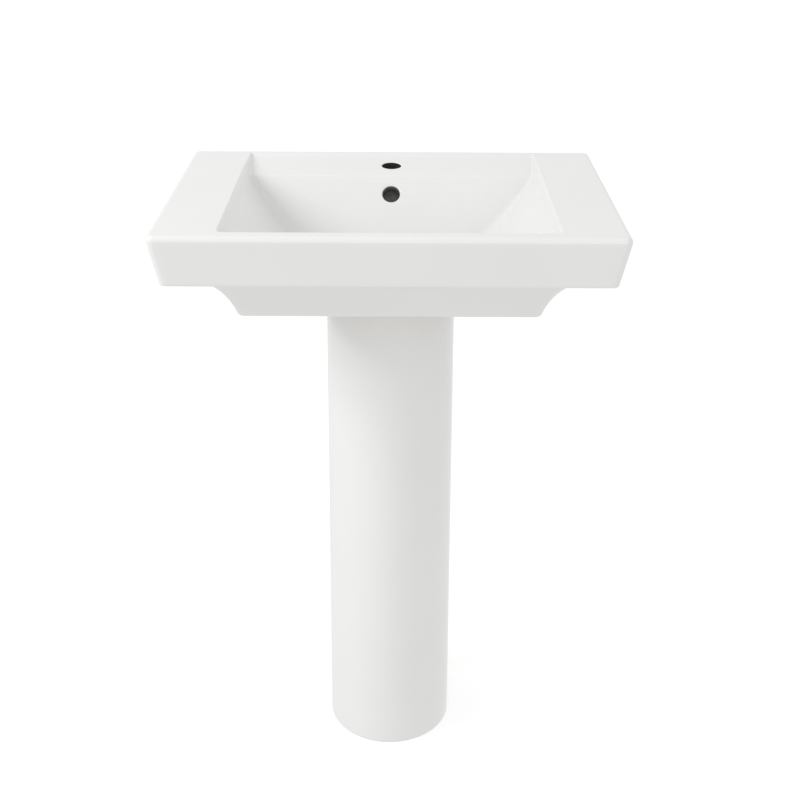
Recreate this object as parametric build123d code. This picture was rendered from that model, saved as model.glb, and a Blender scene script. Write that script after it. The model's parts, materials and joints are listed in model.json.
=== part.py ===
from build123d import *
import math
import os

# Pedestal sink: a china basin on a china pedestal, with the pop-up drain and trap inside.
# Millimetres. X is to the right, Y goes back to the wall, Z is up.
# The origin is on the floor, below the middle of the basin.

# ---- Basin, outside ----
basin_width = 610.0
basin_depth = 508.0
apron_height = 69.0
apron_draft = 13.0
basin_corner_r = 10.0
rim_band = 7.0
rim_edge_r = 5.5
apron_edge_r = 4.0
china_wall = 11.0

# ---- Lower box of the basin, below the apron ----
lower_width = 404.0
lower_front_setback = 87.0
lower_back_setback = 82.0
flare_out = 48.0
flare_r = 115.5
lower_corner_r = 12.0
lower_edge_r = 8.0

# ---- Bowl and tap ledge ----
side_deck = 88.0
front_rim = 28.0
bowl_depth = 112.0
bowl_underside = 21.0  # from the bowl's floor down to the bottom of the lower box
side_slope = 50.0
back_slope = 50.0
front_slope = 60.0
ledge_depth = 99.0
ledge_drop = 15.5
ledge_tilt = 8.0
back_lip = 17.0
bowl_floor_r = 26.0
bowl_corner_r = 14.0
ledge_edge_r = 10.0
lip_r = 6.0
bowl_rim_r = 4.0

# ---- Holes of the basin ----
tap_hole_d = 28.6
tap_hole_setback = 57.0
tap_nut_d = 54.0
overflow_hole_d = 26.0
overflow_drop = 39.0
wall_bolt_d = 13.0
wall_bolt_spacing = 280.0
wall_bolt_drop = 42.0
pocket_width = 380.0

# ---- Overflow duct and drain boss, cast under the bowl ----
drain_hole_play = 2.5  # round the drain body
drain_setback = 234.0
boss_d = 92.0
boss_drop = 25.0
duct_width = 36.0
duct_gap = 12.0
duct_wall = 8.0
chamber_height = 22.0

# ---- Pedestal ----
pedestal_height = 737.0
pedestal_width = 187.0
pedestal_nose = 110.0
pedestal_front_setback = 195.0
pedestal_length = 210.0
pedestal_wall = 12.0
pedestal_edge_r = 3.0
bridge_height = 34.0
bridge_depth = 14.0
foot_height = 14.0
foot_depth = 80.0
floor_bolt_d = 11.0
floor_bolt_spacing = 110.0

# ---- Pop-up drain ----
flange_d = 66.0
flange_t = 4.5
flange_chamfer = 1.0
flange_seal_d = 64.0
seal_t = 2.5
drain_body_d = 40.0
drain_bore_d = 35.0
drain_body_length = 78.0
seat_d = 52.0
seat_depth = 4.2
seal_depth = 3.4
port_d = 10.0
port_count = 4
gasket_d = 62.0
gasket_t = 8.0
gasket_chamfer = 2.0
gasket_nose = 3.0
gasket_nose_taper = 0.6
friction_ring_d = 60.0
friction_ring_t = 2.0
drain_nut_flats = 56.0
drain_nut_t = 10.0
fit_gap = 0.1
open_gap = 0.3

# ---- Stopper and its cartridge ----
stopper_travel = 9.0
cap_d = 56.0
cap_t = 3.0
cap_dome = 2.0
cap_edge = 0.8
plug_d = 20.0
plug_depth = 6.0
stem_d = 8.0
stem_length = 44.0
stem_gap = 0.08
hub_d = 15.0
hub_top_drop = 22.0
hub_length = 24.0
spider_height = 6.0
spider_rim = 2.0
spider_arm = 3.0
spider_root = 1.0
spring_wire = 1.2
spring_d = 12.4
spring_turns = 6

# ---- Tailpiece and trap ----
tube_d = 31.8
tube_wall = 1.2
tailpiece_length = 190.0
tailpiece_engagement = 14.0
trap_insertion = 22.0
hub_wall = 2.6
trap_width = 72.0
trap_riser = 40.0
trap_elbow_r = 32.0
arm_rise = 46.0
slip_nut_flats = 46.0
slip_nut_skirt = 9.6
slip_nut_lip = 3.0
slip_nut_gap = 0.2
slip_washer_t = 4.0
slip_washer_rim = 1.5
slip_washer_nose = 1.2
cleanout_d = 20.0
cleanout_drop = 12.0
cleanout_boss_wall = 4.0
cleanout_thread = 8.4
cleanout_head_d = 26.0
cleanout_head_t = 7.0
cleanout_gasket_d = 27.0
cleanout_gasket_t = 1.5
escutcheon_d = 76.0
escutcheon_t = 9.0
escutcheon_collar = 6.0
escutcheon_bend = 5.0
escutcheon_foot = 3.0

# ---- Heights and places that follow ----
basin_height = bowl_depth + bowl_underside
drain_hole_d = drain_body_d + 2 * drain_hole_play
rim_z = pedestal_height + basin_height
apron_z = rim_z - apron_height
floor_z = rim_z - bowl_depth
front_y = -basin_depth / 2
back_y = basin_depth / 2
drain_y = back_y - drain_setback
ledge_front_y = back_y - ledge_depth
ledge_front_z = rim_z - ledge_drop
lip_y = back_y - back_lip
ledge_back_z = ledge_front_z + (lip_y - ledge_front_y) * math.tan(math.radians(ledge_tilt))
boss_z = pedestal_height - boss_drop

# How far a cutter runs past a face, how near counts as the same place, and a size past all others
past = 1.0
near = 1.0
tall = 4 * basin_width


def run(drop, slope):
    """Horizontal distance that a face of this slope covers over a drop."""
    return drop / math.tan(math.radians(slope))


def polygon(points):
    return make_face(Polyline(*points, close=True))


def along_x(face, length):
    """Prism of a face drawn in Y and Z, centred on X = 0."""
    return extrude(Plane.YZ * face, amount=length / 2, both=True)


def along_y(face, length):
    """Prism of a face drawn in X and Z, centred on Y = 0."""
    return extrude(Plane.XZ * face, amount=length / 2, both=True)


def turned(points, x=0.0, y=0.0):
    """Solid of revolution from radius and height points, about a vertical line."""
    return Pos(x, y, 0) * revolve(Plane.XZ * polygon(points), axis=Axis.Z)


def ring(outer_d, inner_d, low, high, x=0.0, y=0.0):
    """Plain vertical ring or, with no inner diameter, a disc."""
    return turned(
        [(inner_d / 2, low), (outer_d / 2, low), (outer_d / 2, high), (inner_d / 2, high)], x, y
    )


def box_between(low, high):
    size = [b - a for a, b in zip(low, high)]
    middle = [(a + b) / 2 for a, b in zip(low, high)]
    return Pos(*middle) * Box(*size)


def grown(face, amount):
    return offset(face, amount=amount, kind=Kind.INTERSECTION) if amount else face


# ---- Basin ----
def apron_block():
    """Deck and apron: below an upright rim, the front and the sides draw in downwards."""
    band_z = rim_z - rim_band
    full = RectangleRounded(basin_width, basin_depth, basin_corner_r)
    bottom = Pos(0, apron_draft / 2, apron_z) * RectangleRounded(
        basin_width - 2 * apron_draft, basin_depth - apron_draft, basin_corner_r
    )
    block = loft([bottom.face(), (Pos(0, 0, band_z) * full).face()], ruled=True)
    block = fillet(block.faces().sort_by(Axis.Z)[0].edges(), apron_edge_r)
    rim = extrude(Pos(0, 0, band_z) * full, rim_band)
    return block + fillet(rim.faces().sort_by(Axis.Z)[-1].edges(), rim_edge_r)


def lower_side_face(reach):
    """Section across the lower box: a flat bottom and a hollow flare up each side."""
    half = lower_width / 2
    wide = half + flare_out
    top = apron_z + reach
    right = RadiusArc((half, pedestal_height), (wide, apron_z), flare_r)
    left = RadiusArc((-wide, apron_z), (-half, pedestal_height), flare_r)
    bottom = Line((-half, pedestal_height), (half, pedestal_height))
    if reach:
        over = Polyline((wide, apron_z), (wide, top), (-wide, top), (-wide, apron_z))
    else:
        over = Line((wide, top), (-wide, top))
    return make_face([bottom, right, over, left])


def lower_front_face(reach):
    """Section from front to back: the same flare in front and a plain upright back."""
    front = front_y + lower_front_setback
    back = back_y - lower_back_setback
    top = apron_z + reach
    flare = RadiusArc((front - flare_out, apron_z), (front, pedestal_height), flare_r)
    rest = Polyline(
        (front, pedestal_height), (back, pedestal_height), (back, top), (front - flare_out, top)
    )
    neck = [Line((front - flare_out, top), (front - flare_out, apron_z))] if reach else []
    return make_face([flare, rest] + neck)


def lower_box():
    across = along_y(lower_side_face(0), tall)
    box = across & along_x(lower_front_face(0), tall)
    corners = box.edges().filter_by(
        lambda e: pedestal_height + near < e.center().Z < apron_z - near and abs(e.center().X) > near
    )
    box = fillet(corners, lower_corner_r)
    return fillet(box.faces().sort_by(Axis.Z)[0].edges(), lower_edge_r)


def bowl_side_face():
    half = basin_width / 2 - side_deck
    low = half - run(bowl_depth, side_slope)
    top = rim_z + 2 * china_wall
    return polygon(
        [(-low, floor_z), (low, floor_z), (half, rim_z), (half, top), (-half, top), (-half, rim_z)]
    )


def bowl_front_face():
    front = front_y + front_rim
    top = rim_z + 2 * china_wall
    return polygon([
        (front, top), (front, rim_z), (front + run(bowl_depth, front_slope), floor_z),
        (back_wall_y(floor_z), floor_z), (ledge_front_y, ledge_front_z),
        (lip_y, ledge_back_z), (lip_y + (rim_z - ledge_back_z), rim_z),
        (lip_y + (rim_z - ledge_back_z), top),
    ])


def back_wall_y(z, behind=0.0):
    """Y of the bowl's sloping back wall at a height, or of a plane behind it."""
    shift = behind / math.sin(math.radians(back_slope))
    return ledge_front_y - run(ledge_front_z - z, back_slope) + shift


def bowl_space(wall=0.0):
    """Space of the bowl and the tap ledge, or the same with a china wall round it."""
    sides = along_y(grown(bowl_side_face(), wall), tall)
    return sides & along_x(grown(bowl_front_face(), wall), tall)


def spans(edge, x, z):
    """True for an edge that is longer than this in X and in Z."""
    size = edge.bounding_box().size
    return size.X > x and size.Z > z


def is_at(edge, y, z):
    """True for an edge along X whose middle is at this Y and Z."""
    middle = edge.center()
    return abs(middle.X) < near and abs(middle.Y - y) < near and abs(middle.Z - z) < near


def rounded_bowl_space():
    """The bowl's space with its floor, corners and ledge rounded off."""
    space = bowl_space()
    space = fillet(space.faces().sort_by(Axis.Z)[0].edges(), bowl_floor_r)
    corners = space.edges().filter_by(lambda e: spans(e, near, bowl_depth / 3))
    space = fillet(corners, bowl_corner_r)
    front = space.edges().filter_by(lambda e: is_at(e, ledge_front_y, ledge_front_z))
    space = fillet(front, ledge_edge_r)
    lip = space.edges().filter_by(lambda e: is_at(e, lip_y, ledge_back_z))
    return fillet(lip, lip_r)


def duct_face(wall=0.0):
    """Overflow duct seen from the side: down behind the back wall, then to the drain.

    Its back stays in front of the tap's nut; wall adds the china around the duct.
    """
    top = rim_z - overflow_drop + overflow_hole_d / 2 + wall
    low = boss_z + duct_wall - wall
    high = low + chamber_height + 2 * wall
    fore, aft = china_wall - wall, china_wall + duct_gap + wall
    face = polygon([
        (back_wall_y(top, fore), top), (back_wall_y(top, aft), top),
        (back_wall_y(low, aft), low), (drain_y, low), (drain_y, high),
        (back_wall_y(high, fore), high),
    ])
    limit = back_y - tap_hole_setback - tap_nut_d / 2 - duct_wall + wall
    return face & Pos(limit - tall / 2, rim_z) * Rectangle(tall, tall)


def basin_hollow():
    """Hollow cast between the bowl and the outer skin, open at the back under the ledge."""
    wall = china_wall
    deck = box_between(
        (-basin_width / 2 + apron_draft + wall, front_y + apron_draft + wall, apron_z + wall),
        (basin_width / 2 - apron_draft - wall, back_y - wall, rim_z - wall),
    )
    lower = along_y(grown(lower_side_face(4 * wall), -wall), tall) & along_x(
        grown(lower_front_face(4 * wall), -wall), tall
    )
    rib = along_x(duct_face(duct_wall), duct_width + 2 * duct_wall)
    boss = ring(boss_d, 0, boss_z, floor_z, y=drain_y)
    pocket = box_between(
        (-pocket_width / 2, back_y - lower_back_setback, apron_z - wall),
        (pocket_width / 2, back_y - wall, apron_z + 2 * wall),
    )
    return (deck + lower - bowl_space(wall) - rib - boss) + pocket


def drain_boss():
    boss = ring(boss_d, 0, boss_z, floor_z - past, y=drain_y)
    rib = along_x(duct_face(duct_wall), duct_width + 2 * duct_wall)
    return boss + (rib & box_between((-tall, drain_y, boss_z), (tall, back_y, floor_z)))


def tap_hole():
    """Cutter for the tap hole, square to the tilted ledge."""
    y = back_y - tap_hole_setback
    z = ledge_front_z + (y - ledge_front_y) * math.tan(math.radians(ledge_tilt))
    return Pos(0, y, z) * Rot(ledge_tilt, 0, 0) * Cylinder(tap_hole_d / 2, 4 * china_wall)


def overflow_hole():
    """Cutter for the overflow hole: square to the back wall, as far as the duct."""
    z = rim_z - overflow_drop
    reach = china_wall + duct_gap / 2
    hole = Cylinder(overflow_hole_d / 2, 2 * reach)
    return Pos(0, back_wall_y(z), z) * Rot(back_slope, 0, 0) * hole


def basin():
    body = apron_block() + lower_box() + drain_boss()
    body -= basin_hollow()
    body -= rounded_bowl_space()
    body -= along_x(duct_face(), duct_width)
    body -= tap_hole() + overflow_hole()
    chamber = boss_z + duct_wall
    body -= ring(drain_hole_d, 0, boss_z - past, floor_z + past, y=drain_y)
    body -= ring(drain_hole_d + 2 * duct_gap, 0, chamber, chamber + chamber_height, y=drain_y)
    recess = floor_z - flange_t - seal_t
    body -= ring(flange_d + 2 * open_gap, 0, recess, floor_z + past, y=drain_y)
    bolt = Rot(90, 0, 0) * Cylinder(wall_bolt_d / 2, 4 * china_wall)
    for side in (-1, 1):
        body -= Pos(side * wall_bolt_spacing / 2, back_y, rim_z - wall_bolt_drop) * bolt
    return round_bowl_rim(body)


def round_bowl_rim(body):
    """Soften the edge between the deck and the bowl."""
    deck = body.faces().filter_by(Plane.XY).sort_by(Axis.Z)[-1]
    return fillet(deck.inner_wires().edges(), bowl_rim_r)


# ---- Pedestal ----
def pedestal_outline(inset=0.0, extra=0.0):
    """Plan of the pedestal: half an ellipse in front, straight sides, flat back."""
    half = pedestal_width / 2 - inset
    middle = front_y + pedestal_front_setback + pedestal_nose
    back = front_y + pedestal_front_setback + pedestal_length + extra
    nose = EllipticalCenterArc((0, middle), half, pedestal_nose - inset, 180, arc_size=180)
    sides = Polyline((half, middle), (half, back), (-half, back), (-half, middle))
    return make_face([nose, sides])


def pedestal():
    shell = extrude(pedestal_outline(), pedestal_height)
    shell = fillet(shell.faces().sort_by(Axis.Z)[0].edges(), pedestal_edge_r)
    shell -= extrude(pedestal_outline(pedestal_wall, past), pedestal_height)
    back = front_y + pedestal_front_setback + pedestal_length
    half = pedestal_width / 2 - pedestal_wall / 2
    shell += box_between(
        (-half, back - bridge_depth, pedestal_height - bridge_height), (half, back, pedestal_height)
    )
    foot = box_between((-half, back - foot_depth, 0), (half, back - pedestal_edge_r, foot_height))
    for side in (-1, 1):
        hole = Cylinder(floor_bolt_d / 2, 4 * foot_height)
        foot -= Pos(side * floor_bolt_spacing / 2, back - foot_depth / 2, 0) * hole
    return shell + foot


# ---- Pop-up drain; heights here are from the bowl floor down ----
def seat_r(depth):
    """Radius of the conical seat at a depth below the flange."""
    return seat_d / 2 - depth * (seat_d - drain_bore_d) / 2 / seat_depth


def at_drain(points):
    return turned([(r, floor_z + z) for r, z in points], y=drain_y)


def drain_body():
    tail = -drain_body_length
    socket = tail + tailpiece_engagement
    body = at_drain([
        (seat_d / 2, 0), (flange_d / 2 - flange_chamfer, 0),
        (flange_d / 2, -flange_chamfer), (flange_d / 2, -flange_t),
        (drain_body_d / 2, -flange_t), (drain_body_d / 2, tail),
        (tube_d / 2 + fit_gap, tail), (tube_d / 2 + fit_gap, socket),
        (drain_bore_d / 2, socket), (drain_bore_d / 2, -seat_depth),
    ])
    port_z = boss_z + duct_wall + chamber_height / 2
    for i in range(port_count):
        turn = Rot(0, 0, 45 + 360 * i / port_count)
        port = Rot(0, 90, 0) * Pos(0, 0, drain_body_d / 2) * Cylinder(port_d / 2, drain_bore_d / 2)
        body -= Pos(0, drain_y, port_z) * turn * port
    return body


def drain_flange_seal():
    top = floor_z - flange_t
    return ring(flange_seal_d, drain_body_d + 2 * fit_gap, top - seal_t, top, y=drain_y)


def drain_gasket():
    """Tapered washer: its nose enters the hole in the boss."""
    low = boss_z - gasket_t
    bore, nose = drain_body_d / 2 + fit_gap, drain_hole_d / 2 - open_gap
    rim, top = gasket_d / 2, boss_z + gasket_nose
    return turned([
        (bore, low), (rim, low), (rim, boss_z - gasket_chamfer), (rim - gasket_chamfer, boss_z),
        (nose, boss_z), (nose - gasket_nose_taper, top), (bore, top),
    ], y=drain_y)


def drain_friction_ring():
    high = boss_z - gasket_t
    bore = drain_body_d + 2 * fit_gap
    return ring(friction_ring_d, bore, high - friction_ring_t, high, y=drain_y)


def hex_nut(flats, low, high, bore_d, x=0.0, y=0.0):
    """Six-sided nut with its outer corners taken off at both ends."""
    nut = extrude(Pos(x, y, low) * RegularPolygon(flats / 2, 6, major_radius=False), high - low)
    corner, edge = flats / math.sqrt(3), flats / 2
    rise = (corner - edge) / math.sqrt(3)
    nut &= turned([
        (0, low), (edge, low), (corner, low + rise), (corner, high - rise), (edge, high), (0, high)
    ], x, y)
    if bore_d:
        nut -= ring(bore_d, 0, low - past, high + past, x, y)
    return nut


def drain_nut():
    high = boss_z - gasket_t - friction_ring_t
    bore = drain_body_d + 2 * fit_gap
    return hex_nut(drain_nut_flats, high - drain_nut_t, high, bore, y=drain_y)


# ---- Stopper, drawn open: raised by its whole travel ----
def stopper_cap():
    under = stopper_travel + open_gap
    rim = cap_d / 2
    top = under + cap_t
    sag = cap_dome
    radius = (rim ** 2 + sag ** 2) / (2 * sag)
    shoulder = (rim - cap_edge, top + cap_edge * sag / rim)
    dome = RadiusArc((0, top + sag), shoulder, radius)
    side = Polyline(
        shoulder, (rim, top - cap_edge), (rim, under), (plug_d / 2, under),
        (plug_d / 2, under - plug_depth), (0, under - plug_depth), (0, top + sag),
    )
    cap = revolve(Plane.XZ * make_face([dome, side]), axis=Axis.Z)
    return Pos(0, drain_y, floor_z) * cap


def stopper_seal():
    """Soft ring under the cap; its outer face follows the seat, open_gap away when shut."""
    slope = math.atan2((seat_d - drain_bore_d) / 2, seat_depth)
    clear = open_gap / math.cos(slope)
    upper, lower = open_gap, -seal_depth
    outer_top = seat_r(-upper) - clear
    outer_low = seat_r(-lower) - clear
    lift = stopper_travel
    return at_drain([
        (plug_d / 2, lower + lift), (outer_low, lower + lift), (outer_top, upper + lift),
        (plug_d / 2, upper + lift),
    ])


def stopper_stem():
    top = stopper_travel + open_gap - plug_depth
    return ring(stem_d, 0, floor_z + top - stem_length, floor_z + top, y=drain_y)


def stopper_cartridge():
    """Hub that guides the stem, carried by three arms and a rim in the drain body."""
    hub_top = floor_z - hub_top_drop
    hub_low = hub_top - hub_length
    bore = stem_d + 2 * stem_gap
    rim_d = drain_bore_d - 2 * fit_gap
    hub = ring(hub_d, bore, hub_low, hub_top, y=drain_y)
    rim = ring(rim_d, rim_d - 2 * spider_rim, hub_low, hub_low + spider_height, y=drain_y)
    arms = Part()
    start, end = bore / 2 + spider_root, (rim_d - spider_rim) / 2
    arm = Pos((start + end) / 2, 0, 0) * Box(end - start, spider_arm, spider_height)
    for i in range(3):
        arms += Rot(0, 0, 120 * i) * arm
    return hub + rim + Pos(0, drain_y, hub_low + spider_height / 2) * arms


def stopper_spring():
    low = floor_z - hub_top_drop
    high = floor_z + stopper_travel + open_gap - plug_depth
    radius = (spring_d - spring_wire) / 2
    pitch = (high - low - spring_wire) / spring_turns
    coil = Helix(pitch, high - low - spring_wire, radius)
    wire = sweep(Plane(coil @ 0, z_dir=coil % 0) * Circle(spring_wire / 2), path=coil)
    return Pos(0, drain_y, low + spring_wire / 2) * wire


# ---- Tailpiece and trap ----
tail_top_z = floor_z - drain_body_length + tailpiece_engagement
tail_low_z = tail_top_z - tailpiece_length
inlet_z = tail_low_z + trap_insertion
bend_r = trap_width / 2
bend_z = inlet_z - trap_riser
union_y = drain_y + trap_width
union_z = bend_z + trap_riser
arm_z = union_z + arm_rise
hub_inner_d = tube_d + 2 * fit_gap
hub_outer_d = hub_inner_d + 2 * hub_wall


def pipe(path, outer_d, inner_d):
    start = Plane(path @ 0, z_dir=path % 0)
    outer = sweep(start * Circle(outer_d / 2), path=path)
    return outer - sweep(start * Circle(inner_d / 2), path=path)


def in_yz(points_2d):
    return [(0, y, z) for y, z in points_2d]


def tailpiece():
    return ring(tube_d, tube_d - 2 * tube_wall, tail_low_z, tail_top_z, y=drain_y)


def trap_bend():
    """U of the trap: inlet hub, half turn, outlet hub and the cleanout boss."""
    down = Line(*in_yz([(drain_y, bend_z + hub_step()), (drain_y, bend_z)]))
    turn = ThreePointArc(*in_yz([
        (drain_y, bend_z), (drain_y + bend_r, bend_z - bend_r), (union_y, bend_z)
    ]))
    up = Line(*in_yz([(union_y, bend_z), (union_y, bend_z + hub_step())]))
    path = Wire([down, turn, up])
    bore_d = tube_d - 2 * tube_wall
    start = Plane(path @ 0, z_dir=path % 0)
    outer = sweep(start * Circle(hub_outer_d / 2), path=path)
    low = cleanout_low()
    outer_d = cleanout_d + 2 * cleanout_boss_wall
    outer += ring(outer_d, 0, low, bend_z - bend_r, y=drain_y + bend_r)
    outer += ring(hub_outer_d, 0, bend_z, inlet_z, y=drain_y)
    outer += ring(hub_outer_d, 0, bend_z, union_z, y=union_y)
    outer -= sweep(start * Circle(bore_d / 2), path=path)
    outer -= ring(cleanout_d, 0, low - past, bend_z - bend_r, y=drain_y + bend_r)
    seats = [(drain_y, inlet_z), (union_y, union_z)]
    for y, z in seats:
        outer -= ring(hub_inner_d, 0, z - trap_insertion - past, z + past, y=y)
    return outer


def hub_step():
    """Height of the bore's shoulder above the bend's centre."""
    return trap_riser - trap_insertion


def slip_washer(y, z):
    """Tapered washer squeezed between a hub's mouth and its nut."""
    bore = tube_d / 2 + fit_gap
    return turned([
        (bore, z), (hub_outer_d / 2, z), (hub_outer_d / 2, z + slip_washer_rim),
        (bore + slip_washer_nose, z + slip_washer_t), (bore, z + slip_washer_t),
    ], y=y)


def slip_nut(y, z):
    """Nut over a hub's mouth: threaded skirt below, a lip that presses the washer above."""
    low, high = z - slip_nut_skirt, z + slip_washer_t + slip_nut_lip
    nut = hex_nut(slip_nut_flats, low, high, tube_d + 2 * slip_nut_gap, y=y)
    skirt = hub_outer_d + 2 * fit_gap
    return nut - ring(skirt, 0, low - past, z + slip_washer_t, y=y)


def trap_arm():
    """Tube from the union: up, round an elbow and back to the wall."""
    low = union_z - trap_insertion
    elbow_y, elbow_z = union_y + trap_elbow_r, arm_z - trap_elbow_r
    slant = trap_elbow_r * math.sqrt(0.5)
    path = Wire([
        Line(*in_yz([(union_y, low), (union_y, elbow_z)])),
        ThreePointArc(*in_yz([
            (union_y, elbow_z), (elbow_y - slant, elbow_z + slant), (elbow_y, arm_z)
        ])),
        Line(*in_yz([(elbow_y, arm_z), (back_y, arm_z)])),
    ])
    return pipe(path, tube_d, tube_d - 2 * tube_wall)


def cleanout_low():
    return bend_z - bend_r - hub_outer_d / 2 - cleanout_drop


def cleanout_gasket():
    low = cleanout_low()
    return ring(cleanout_gasket_d, cleanout_d, low - cleanout_gasket_t, low, y=drain_y + bend_r)


def cleanout_plug():
    """Threaded stub in the boss with a six-sided head under the gasket."""
    y, low = drain_y + bend_r, cleanout_low()
    head = low - cleanout_gasket_t
    stub = ring(cleanout_d - 2 * fit_gap, 0, head - past, low + cleanout_thread, y=y)
    return hex_nut(cleanout_head_d, head - cleanout_head_t, head, 0, y=y) + stub


def wall_escutcheon():
    """Shallow dished plate on the wall around the trap arm."""
    bore, rim = tube_d / 2 + open_gap, escutcheon_d / 2
    t = tube_wall
    profile = polygon([
        (bore, escutcheon_t), (bore + escutcheon_collar, escutcheon_t), (rim, t), (rim, 0),
        (rim - escutcheon_foot, 0), (bore + escutcheon_bend, escutcheon_t - t),
        (bore, escutcheon_t - t),
    ])
    plate = revolve(Plane.XZ * profile, axis=Axis.Z)
    return Pos(0, back_y, arm_z) * Rot(90, 0, 0) * plate


def write(node, shape):
    solid = shape if isinstance(shape, Part) else Part() + shape
    solid.label = node
    export_step(solid, os.path.join("parts", node + ".step"))


os.makedirs("parts", exist_ok=True)
write("basin", basin())
write("pedestal", pedestal())
write("drain_body", drain_body())
write("drain_flange_seal", drain_flange_seal())
write("drain_gasket", drain_gasket())
write("drain_friction_ring", drain_friction_ring())
write("drain_nut", drain_nut())
write("stopper_cap", stopper_cap())
write("stopper_seal", stopper_seal())
write("stopper_stem", stopper_stem())
write("stopper_cartridge", stopper_cartridge())
write("stopper_spring", stopper_spring())
write("tailpiece", tailpiece())
write("trap_bend", trap_bend())
write("trap_inlet_washer", slip_washer(drain_y, inlet_z))
write("trap_inlet_nut", slip_nut(drain_y, inlet_z))
write("trap_union_washer", slip_washer(union_y, union_z))
write("trap_union_nut", slip_nut(union_y, union_z))
write("trap_arm", trap_arm())
write("cleanout_gasket", cleanout_gasket())
write("cleanout_plug", cleanout_plug())
write("wall_escutcheon", wall_escutcheon())
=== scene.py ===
"""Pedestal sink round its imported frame: china basin and pedestal, pop-up drain and trap.

Metres. X is to the right, Y goes back to the wall, Z is up, and the floor is at Z = 0.
"""
import json
import math

import bpy
import numpy as np
from bpy.props import FloatProperty, FloatVectorProperty, PointerProperty
from bpy.types import Operator, Panel, PropertyGroup
from mathutils import Matrix, Vector

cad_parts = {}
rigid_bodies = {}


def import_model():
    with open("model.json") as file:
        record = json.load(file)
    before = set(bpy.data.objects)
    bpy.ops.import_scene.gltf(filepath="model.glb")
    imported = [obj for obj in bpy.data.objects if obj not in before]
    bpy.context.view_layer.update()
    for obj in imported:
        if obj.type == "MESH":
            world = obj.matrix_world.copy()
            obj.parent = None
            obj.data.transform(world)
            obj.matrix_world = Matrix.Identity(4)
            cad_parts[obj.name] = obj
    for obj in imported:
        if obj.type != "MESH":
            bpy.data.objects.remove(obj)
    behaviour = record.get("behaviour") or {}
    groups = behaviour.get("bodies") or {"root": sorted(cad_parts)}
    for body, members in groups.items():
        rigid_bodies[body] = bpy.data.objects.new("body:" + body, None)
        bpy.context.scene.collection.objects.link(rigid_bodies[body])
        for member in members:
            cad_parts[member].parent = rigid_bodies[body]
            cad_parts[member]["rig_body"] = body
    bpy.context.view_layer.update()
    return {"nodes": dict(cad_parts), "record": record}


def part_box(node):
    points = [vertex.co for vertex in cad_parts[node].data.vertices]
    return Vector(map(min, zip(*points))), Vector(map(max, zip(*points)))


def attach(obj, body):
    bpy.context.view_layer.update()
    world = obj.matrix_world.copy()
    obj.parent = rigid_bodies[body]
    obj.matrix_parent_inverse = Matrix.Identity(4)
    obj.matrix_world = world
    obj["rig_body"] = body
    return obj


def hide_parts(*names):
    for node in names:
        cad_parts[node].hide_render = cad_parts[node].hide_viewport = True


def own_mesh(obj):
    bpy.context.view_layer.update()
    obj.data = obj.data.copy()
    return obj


bl_info = {
    "name": "Pedestal sink",
    "version": (1, 0, 0),
    "blender": (4, 5, 0),
    "location": "3D View > Sidebar > Sink",
    "description": "Builds a china pedestal sink with its drain and trap",
    "category": "Object",
}

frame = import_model()
slot_of = {part["node"]: part["material_slot"] for part in frame["record"]["subparts"]}
mm = 0.001
slip_fit = 0.1 * mm  # all round, between a tube and what it slides in

# Places that the frame gives
basin_low, basin_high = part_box("basin")
pedestal_low, pedestal_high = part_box("pedestal")
rim_z = basin_high.z
back_y = basin_high.y
boss_z = basin_low.z
shelf_z = pedestal_high.z
tail_low, tail_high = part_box("tailpiece")
drain_y = (tail_low.y + tail_high.y) / 2
arm_low, arm_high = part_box("trap_arm")


# ---- Sizes and finishes that a user would change ----
def length(name, description, default):
    return FloatProperty(name=name, description=description, default=default, unit="LENGTH")


def degrees(name, description, default):
    return FloatProperty(
        name=name, description=description, default=math.radians(default), unit="ROTATION"
    )


def colour(name, description, default):
    return FloatVectorProperty(
        name=name, description=description, default=default, subtype="COLOR", min=0, max=1
    )


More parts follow.
